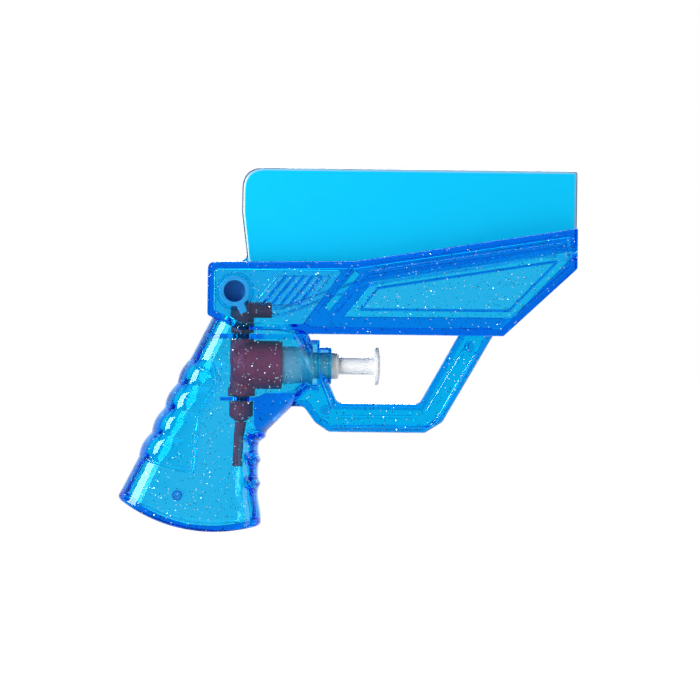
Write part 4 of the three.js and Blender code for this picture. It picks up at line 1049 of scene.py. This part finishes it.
def whole_body(sizes):
    """The uncut body: the outer forms joined, hollowed out and fitted with its inner parts and bores."""
    housing = prism(HOUSING, eased(-HOUSING_HALF, HOUSING_HALF, sizes.housing_edge / MM))
    outer = grip(0, 0, sizes.lobe / MM, sizes.pad / MM, BASE_EDGE, stations=190, sides=112)
    hollow = grip(sizes.rim_wall / MM, sizes.side_wall / MM, 0, 0, HOLLOW_EDGE, stations=60, sides=64)
    hollows = [housing_hollow(sizes), cut(hollow, prism(CROTCH, [(0, -20), (0, 20)]))]
    for form in hollows:
        form.transform(Matrix.Translation((0, -sizes.side_shift / MM, 0)))
    hollows.append(guard_hollow(sizes.guard_wall / MM, outer, housing))
    fin = prism(FIN, eased(-FIN_HALF, FIN_HALF, FIN_EDGE), steps=10)
    guard = trigger_guard(sizes.guard_edge / MM)
    shell = joined(decorated(housing, sizes.relief / MM, sizes.rail / MM), fin, guard, outer)
    surface = BVHTree.FromPolygons([v.co for v in shell.vertices], [p.vertices for p in shell.polygons])
    ridges = [bead(surface, line, towards, sizes.ridge / MM) for line in RIDGES for towards in (-1, 1)]
    shell = cut(joined(shell, *ridges), *hollows)
    bores = [rod(*size, "x", PUMP_AXIS) for size in BOSS_BORES]
    bores += [rod(*size, "z", TOWER_AXIS) for size in TOWER_BORES]
    bores += [rod(*size, "x", NOZZLE_AXIS) for size in MUZZLE_BORES]
    return cut(joined(shell, *inner_parts(outer)), *bores)


# Stage

def faded(tree, value, start, end, low, high):
    """A level that goes smoothly from low to high while a value goes from start to end."""
    ends = {"From Min": start, "From Max": end, "To Min": low, "To Max": high}
    fade = add(tree, "ShaderNodeMapRange", ends, interpolation_type="SMOOTHSTEP")
    tree.links.new(value, fade.inputs["Value"])
    return fade.outputs["Result"]


def white_world(scene, fill):
    """A white surround that lights the object at the fill level.

    Reflections see a room that is dim in front, and clear plastic sees a dimmer ceiling.
    """
    scene.world = bpy.data.worlds.new("white_surround")
    scene.world.use_nodes = True
    tree = scene.world.node_tree
    path = add(tree, "ShaderNodeLightPath")
    place = add(tree, "ShaderNodeTexCoord")
    split = add(tree, "ShaderNodeSeparateXYZ")
    tree.links.new(place.outputs["Generated"], split.inputs["Vector"])
    room = faded(tree, split.outputs["Y"], start=-0.2, end=0.7, low=0.05, high=1.0)
    ceiling = faded(tree, split.outputs["Z"], start=0.4, end=0.9, low=1.0, high=0.3)
    level = None
    for ray, seen in (("Is Glossy Ray", room), ("Is Transmission Ray", ceiling), ("Is Camera Ray", None)):
        mix = add(tree, "ShaderNodeMix", {"A": fill, "B": 1.0})
        tree.links.new(path.outputs[ray], mix.inputs["Factor"])
        for source, target in ((level, "A"), (seen, "B")):
            if source:
                tree.links.new(source, mix.inputs[target])
        level = mix.outputs["Result"]
    tree.nodes["Background"].inputs["Color"].default_value = (1, 1, 1, 1)
    tree.links.new(level, tree.nodes["Background"].inputs["Strength"])


def seen_directly(tree):
    """1 for rays from the camera or through clear plastic, 0 for the light that falls on the object."""
    path = add(tree, "ShaderNodeLightPath")
    either = add(tree, "ShaderNodeMath", operation="MAXIMUM")
    tree.links.new(path.outputs["Is Camera Ray"], either.inputs[0])
    tree.links.new(path.outputs["Is Transmission Ray"], either.inputs[1])
    return either.outputs["Value"]


def white_floor(height):
    """A wide white floor that keeps the object's soft shadow; reflections see the room instead."""
    corners = [(-FLOOR_HALF, -FLOOR_HALF), (FLOOR_HALF, -FLOOR_HALF), (FLOOR_HALF, FLOOR_HALF),
               (-FLOOR_HALF, FLOOR_HALF)]
    mesh = bpy.data.meshes.new("floor")
    mesh.from_pydata([(x, y, height) for x, y in corners], [], [(0, 1, 2, 3)])
    material, tree, principled, output = shader("floor_white")
    set_inputs(principled, {"Base Color": (0.98, 0.98, 0.98, 1), "Roughness": 0.9})
    glow = add(tree, "ShaderNodeEmission", {"Strength": FLOOR_GLOW})
    share = add(tree, "ShaderNodeMath", {1: FLOOR_GLOW_SHARE}, operation="MULTIPLY")
    mix = add(tree, "ShaderNodeMixShader")
    tree.links.new(seen_directly(tree), share.inputs[0])
    tree.links.new(share.outputs["Value"], mix.inputs[0])
    tree.links.new(principled.outputs["BSDF"], mix.inputs[1])
    tree.links.new(glow.outputs["Emission"], mix.inputs[2])
    tree.links.new(mix.outputs["Shader"], output.inputs["Surface"])
    mesh.materials.append(material)
    floor = linked("floor", mesh)
    floor.visible_glossy = False


def soft_lamp(name, place, size, power):
    """A rectangular area lamp turned to the object."""
    lamp = bpy.data.lights.new(name, "AREA")
    lamp.shape = "RECTANGLE"
    lamp.size, lamp.size_y = size
    lamp.energy = power
    obj = linked(name, lamp)
    obj.location = place
    obj.rotation_euler = (AIM - Vector(place)).to_track_quat("-Z", "Y").to_euler()
    return obj


# Operators

class SQUIRTER_OT_shells(bpy.types.Operator):
    """Build both see-through body halves: housing, fin, guard and grip with the ribs inside"""

    bl_idname = "squirter.shells"
    bl_label = "Body Shells"

    def execute(self, context):
        sizes, finish = context.scene.squirter.shell, context.scene.squirter.finish
        material = see_through("shell_plastic", finish.tint, finish.shell, finish.shell_density)
        body = whole_body(sizes)
        gap = sizes.seam / MM / 2
        near, far = side_box(-60, -gap), side_box(gap, 60)
        seat = turned(FILLER_SEAT, "y", FILLER_AXIS, fillet=0.15)
        mouth = rod(*FILLER_BORE, "y", FILLER_AXIS)
        sockets, wells, pins = [], [], []
        for x, z, half, wall in PEGS:
            place = (x, 0, z)
            sockets.append(rod(SOCKET_DIAMETER, wall - half - SOCKET_SINK, PAST, "y", place))
            wells.append(rod(SOCKET_DIAMETER, gap + WELL_START, half - wall + SOCKET_SINK, "y", place))
            pins.append(rod(PEG_DIAMETER, PEG_START, gap + PEG_REACH, "y", place, fillet=0.2))
        right = cut(joined(cut(common(body, near), mouth), seat), *sockets)
        left = joined(cut(common(body, far), *wells), *pins)
        piece("body_shell_right", right, material, "body", "clear_blue", "right_shell", sharp=12)
        piece("body_shell_left", left, material, "body", "clear_blue", "left_shell", sharp=12)
        return {"FINISHED"}


class SQUIRTER_OT_glitter(bpy.types.Operator):
    """Scatter glitter flakes through the walls of both shells"""

    bl_idname = "squirter.glitter"
    bl_label = "Glitter"

    def execute(self, context):
        sizes = context.scene.squirter.glitter
        tree = glitter_tree(flake_material())
        for side in ("right", "left"):
            wall = bpy.data.objects[f"body_shell_{side}"].data
            name = f"glitter_{side}"
            mesh = grown(name, wall, tree, {
                "Density": sizes.density, "Radius": sizes.radius, "Thickness": sizes.thickness,
                "Shallow": sizes.shallow, "Deep": sizes.deep, "Seed": sizes.seed + (side == "right")})
            placed(linked(name, mesh), "body", "clear_blue")
        return {"FINISHED"}


class SQUIRTER_OT_labels(bpy.types.Operator):
    """Lay a plain printed film on each face of the fin"""

    bl_idname = "squirter.labels"
    bl_label = "Labels"

    def execute(self, context):
        finish = context.scene.squirter.finish
        material = label_print(finish.label)
        film = solid_plastic("label_edge_and_painted_highlight", finish.film)
        lowered = [(x, z - LABEL_BEVEL if z < LABEL_FOOT else z, radius) for x, z, radius in LABEL]
        levels = [(LABEL, 0, FIN_HALF + LABEL_GAP), (LABEL, 0, FIN_HALF + LABEL_RIM),
                  (lowered, LABEL_BEVEL, FIN_HALF + LABEL_FACE)]
        for side, towards in (("right", -1), ("left", 1)):
            mesh = skin([[(p.x, towards * y, p.y) for p in rounded(moved_in(outline, inset), steps=10)]
                         for outline, inset, y in levels])
            obj = piece(f"label_{side}", mesh, material, "body", "label_film", f"{side}_label", sharp=12)
            obj.data.materials.append(film)
            # Rims that don't face down take the paler film colour: the bare film edge with a painted
            # highlight on its upper and side rims
            for face in obj.data.polygons:
                bevelled = abs(face.normal.y) < 0.97 and face.normal.z > -0.2
                face.material_index = int(bevelled)
        return {"FINISHED"}


class SQUIRTER_OT_filler_plug(bpy.types.Operator):
    """Build the cup-shaped filler plug with its pull tab"""

    bl_idname = "squirter.filler_plug"
    bl_label = "Filler Plug"

    def execute(self, context):
        plug = context.scene.squirter.finish.plug
        material = solid_plastic("plug_plastic", plug, low=0.3, high=0.45, coat=0.0)
        cup = turned(PLUG_CUP, "y", FILLER_AXIS, fillet=0.25)
        x, _, z = FILLER_AXIS
        ends = [(x + reach * math.sin(TAB_TURN), z - reach * math.cos(TAB_TURN)) for reach in TAB_REACH]
        tab = prism(strip(*ends, TAB_WIDTH), eased(*TAB_SIDES, edge=0.3))
        piece("filler_plug_cup", joined(cup, tab), material, "filler_plug", "blue_plug", "filler_plug")
        return {"FINISHED"}


class SQUIRTER_OT_pump(bpy.types.Operator):
    """Build the pump block, its cylinder and washer, the inlet valve cap and the dip tube"""

    bl_idname = "squirter.pump"
    bl_label = "Pump"

    def execute(self, context):
        finish = context.scene.squirter.finish
        red = red_plastic(finish)
        body = joined(
            turned(BARREL, "x", PUMP_AXIS, fillet=0.6),
            rod(*TOWER, "z", TOWER_AXIS, fillet=0.3),
            rod(*TOWER_COLLAR, "z", TOWER_AXIS, fillet=0.4),
            rod(*TOWER_SPIGOTS, "z", TOWER_AXIS, fillet=0.2),
        )
        body = cut(
            body,
            rod(*CYLINDER_BORE, "x", PUMP_AXIS),
            rod(*RISER, "z", TOWER_AXIS),
            rod(*PORT, "x", PUMP_AXIS),
            turned(BALL_SEAT, "z", TOWER_AXIS),
        )
        piece("pump_block", body, red, "body", "wine_red", "pump_body")
        cylinder = turned(CYLINDER, "x", PUMP_AXIS, fillet=0.15)
        piece("pump_cylinder", cylinder, white_plastic(finish), "body", "white", "pump_sleeve")
        washer = turned(WASHER, "x", PUMP_AXIS, fillet=0.2)
        piece("cylinder_washer", washer, seal_rubber(finish), "body", "black_rubber", "sleeve_washer")
        cap = turned(INLET_CAP, "z", TOWER_AXIS, fillet=0.2)
        piece("inlet_cap", cap, red, "body", "wine_red", "inlet_valve_cap")
        tube = turned(SUCTION_TUBE, "z", (0, 0, 0), fillet=0.1)
        tube.transform(Matrix.Translation((TOWER_X, 0, TUBE_TOP_Z)) @ Matrix.Rotation(TUBE_LEAN, 4, "Y"))
        piece("suction_tube", tube, red, "body", "wine_red", "dip_tube")
        return {"FINISHED"}


class SQUIRTER_OT_plunger(bpy.types.Operator):
    """Build the push plunger with its piston and seal"""

    bl_idname = "squirter.plunger"
    bl_label = "Plunger"

    def execute(self, context):
        finish = context.scene.squirter.finish
        white = white_plastic(finish)
        push = turned(PUSH_PLUNGER, "x", PUMP_AXIS, fillet=0.35)
        piece("push_plunger", push, white, "plunger", "white", "plunger")
        head = turned(PISTON, "x", PUMP_AXIS, fillet=0.15)
        piece("piston", head, white, "plunger", "white", "piston_head")
        turns = [k * math.pi / 8 for k in range(16)]
        section = [(SEAL_RADIUS + SEAL_SECTION * math.cos(turn), SEAL_X + SEAL_SECTION * math.sin(turn))
                   for turn in turns]
        seal = turned(section, "x", PUMP_AXIS)
        piece("piston_ring", seal, seal_rubber(finish), "plunger", "black_rubber", "piston_seal")
        return {"FINISHED"}


class SQUIRTER_OT_springs(bpy.types.Operator):
    """Wind the plunger's return spring and the outlet valve's spring"""

    bl_idname = "squirter.springs"
    bl_label = "Springs"

    def execute(self, context):
        tree = spring_tree(metal("spring_steel", context.scene.squirter.finish.steel))
        along_x = (Matrix.Translation((RETURN_SPRING_X * MM, 0, PUMP_Z * MM))
                   @ Matrix.Rotation(math.pi / 2, 4, "Y"))
        upright = Matrix.Translation((TOWER_X * MM, 0, VALVE_SPRING_Z * MM))
        # Piece, node, turns, radius, height, wire radius and place
        wound = (
            ("plunger_spring", "return_spring", 7.0, 4.0, 15.3, 0.3, along_x),
            ("valve_spring", "outlet_spring", 4.0, 1.725, 3.85, 0.175, upright),
        )
        for name, node, turns, radius, height, wire, matrix in wound:
            mesh = grown(name, bpy.data.meshes.new(name), tree, {
                "Turns": turns, "Radius": radius * MM, "Height": height * MM, "Wire": wire * MM,
                "Points": int(turns * 40)})
            mesh.transform(matrix)
            mesh.shade_smooth()
            placed(linked(name, mesh), "body", "steel", node)
        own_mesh(bpy.data.objects["plunger_spring"])
        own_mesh(bpy.data.objects["valve_spring"])
        return {"FINISHED"}


class SQUIRTER_OT_valve_balls(bpy.types.Operator):
    """Place the steel balls of the inlet and the outlet valve"""

    bl_idname = "squirter.valve_balls"
    bl_label = "Valve Balls"

    def execute(self, context):
        steel = metal("ball_steel", context.scene.squirter.finish.steel)
        for node in ("inlet_ball", "outlet_ball"):
            low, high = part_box(node)
            centre, radius = (low + high) / 2 / MM, (high.z - low.z) / 2 / MM
            turns = [k * math.pi / 24 for k in range(25)]
            arc = [(radius * math.sin(turn), radius * math.cos(turn)) for turn in turns]
            piece(f"{node}_bearing", turned(arc, "z", centre, sides=48), steel, node, "steel", node)
        return {"FINISHED"}


class SQUIRTER_OT_delivery(bpy.types.Operator):
    """Build the outlet elbow, the delivery tube and the nozzle"""

    bl_idname = "squirter.delivery"
    bl_label = "Delivery"

    def execute(self, context):
        dome = rod(*ELBOW_DOME, "z", TOWER_AXIS, fillet=0.6)
        spout = rod(*ELBOW_SPOUT, "x", OUTLET_AXIS, fillet=0.3)
        elbow = cut(
            joined(dome, spout),
            rod(*ELBOW_SOCKET, "z", TOWER_AXIS),
            rod(*ELBOW_CHAMBER, "z", TOWER_AXIS),
            rod(*ELBOW_BORE, "x", OUTLET_AXIS),
        )
        piece("elbow", elbow, red_plastic(context.scene.squirter.finish), "body", "wine_red", "outlet_elbow")
        clear = see_through("tube_plastic", tint=(1, 1, 1), depth=(0.9, 0.97, 1.0), density=60.0)
        tube = tube_along(TUBE_ROUTE, *TUBE_RADII)
        piece("supply_tube", tube, clear, "body", "clear_tube", "delivery_tube")
        jet = turned(JET_NOZZLE, "x", NOZZLE_AXIS, fillet=0.15)
        piece("jet_nozzle", jet, clear, "body", "white", "nozzle")
        return {"FINISHED"}


class SQUIRTER_OT_stage(bpy.types.Operator):
    """Set the white floor, the soft lamps, the world and the camera"""

    bl_idname = "squirter.stage"
    bl_label = "Stage"

    def execute(self, context):
        scene, stage = context.scene, context.scene.squirter.stage
        scene.view_settings.view_transform = "Standard"
        scene.cycles.max_bounces = 40
        scene.cycles.glossy_bounces = 24
        scene.cycles.transmission_bounces = 40
        white_world(scene, stage.fill)
        white_floor(stage.floor)
        soft_lamp("top_lamp", (0.0, 0.1, 0.95), (0.7, 0.45), stage.top)
        soft_lamp("side_lamp", (-0.68, -0.55, 0.28), (0.34, 0.8), stage.side)
        soft_lamp("card_lamp", (0.75, -0.45, 0.2), (0.3, 0.8), stage.card)
        behind = soft_lamp("back_lamp", (0.1, 1.2, 0.5), (0.8, 0.5), stage.back)
        behind.visible_transmission = False
        camera = linked("camera", bpy.data.cameras.new("camera"))
        camera.matrix_world = (Matrix.Translation(AIM - Vector((0, stage.distance, 0)))
                               @ Matrix.Rotation(math.pi / 2, 4, "X") @ Matrix.Rotation(stage.roll, 4, "Z"))
        camera.data.lens = camera.data.sensor_width * stage.distance / (PICTURE_WIDTH * stage.pixel)
        camera.data.clip_end = 20
        scene.camera = camera
        return {"FINISHED"}


# Panel and registration

class SQUIRTER_PT_panel(bpy.types.Panel):
    """Sidebar panel with the squirter's settings and the steps that build it"""

    bl_idname = "SQUIRTER_PT_panel"
    bl_label = "Toy Water Squirter"
    bl_space_type = "VIEW_3D"
    bl_region_type = "UI"
    bl_category = "Squirter"

    def draw(self, context):
        settings = context.scene.squirter
        for group in (settings.shell, settings.glitter, settings.finish, settings.stage):
            column = self.layout.column(align=True)
            for name in group.__annotations__:
                column.prop(group, name)
        for operator in OPERATORS:
            self.layout.operator(operator.bl_idname)


OPERATORS = (
    SQUIRTER_OT_shells, SQUIRTER_OT_glitter, SQUIRTER_OT_labels, SQUIRTER_OT_filler_plug, SQUIRTER_OT_pump,
    SQUIRTER_OT_plunger, SQUIRTER_OT_springs, SQUIRTER_OT_valve_balls, SQUIRTER_OT_delivery,
    SQUIRTER_OT_stage,
)
CLASSES = (ShellSettings, GlitterSettings, FinishSettings, StageSettings, SquirterSettings, *OPERATORS,
           SQUIRTER_PT_panel)


def register():
    for cls in CLASSES:
        bpy.utils.register_class(cls)
    bpy.types.Scene.squirter = PointerProperty(type=SquirterSettings)


def unregister():
    del bpy.types.Scene.squirter
    for cls in reversed(CLASSES):
        bpy.utils.unregister_class(cls)


def main():
    """Builds every piece in order."""
    register()
    bpy.ops.squirter.shells()
    bpy.ops.squirter.glitter()
    bpy.ops.squirter.labels()
    bpy.ops.squirter.filler_plug()
    bpy.ops.squirter.pump()
    bpy.ops.squirter.plunger()
    bpy.ops.squirter.springs()
    bpy.ops.squirter.valve_balls()
    bpy.ops.squirter.delivery()
    bpy.ops.squirter.stage()


if __name__ == "__main__":
    main()
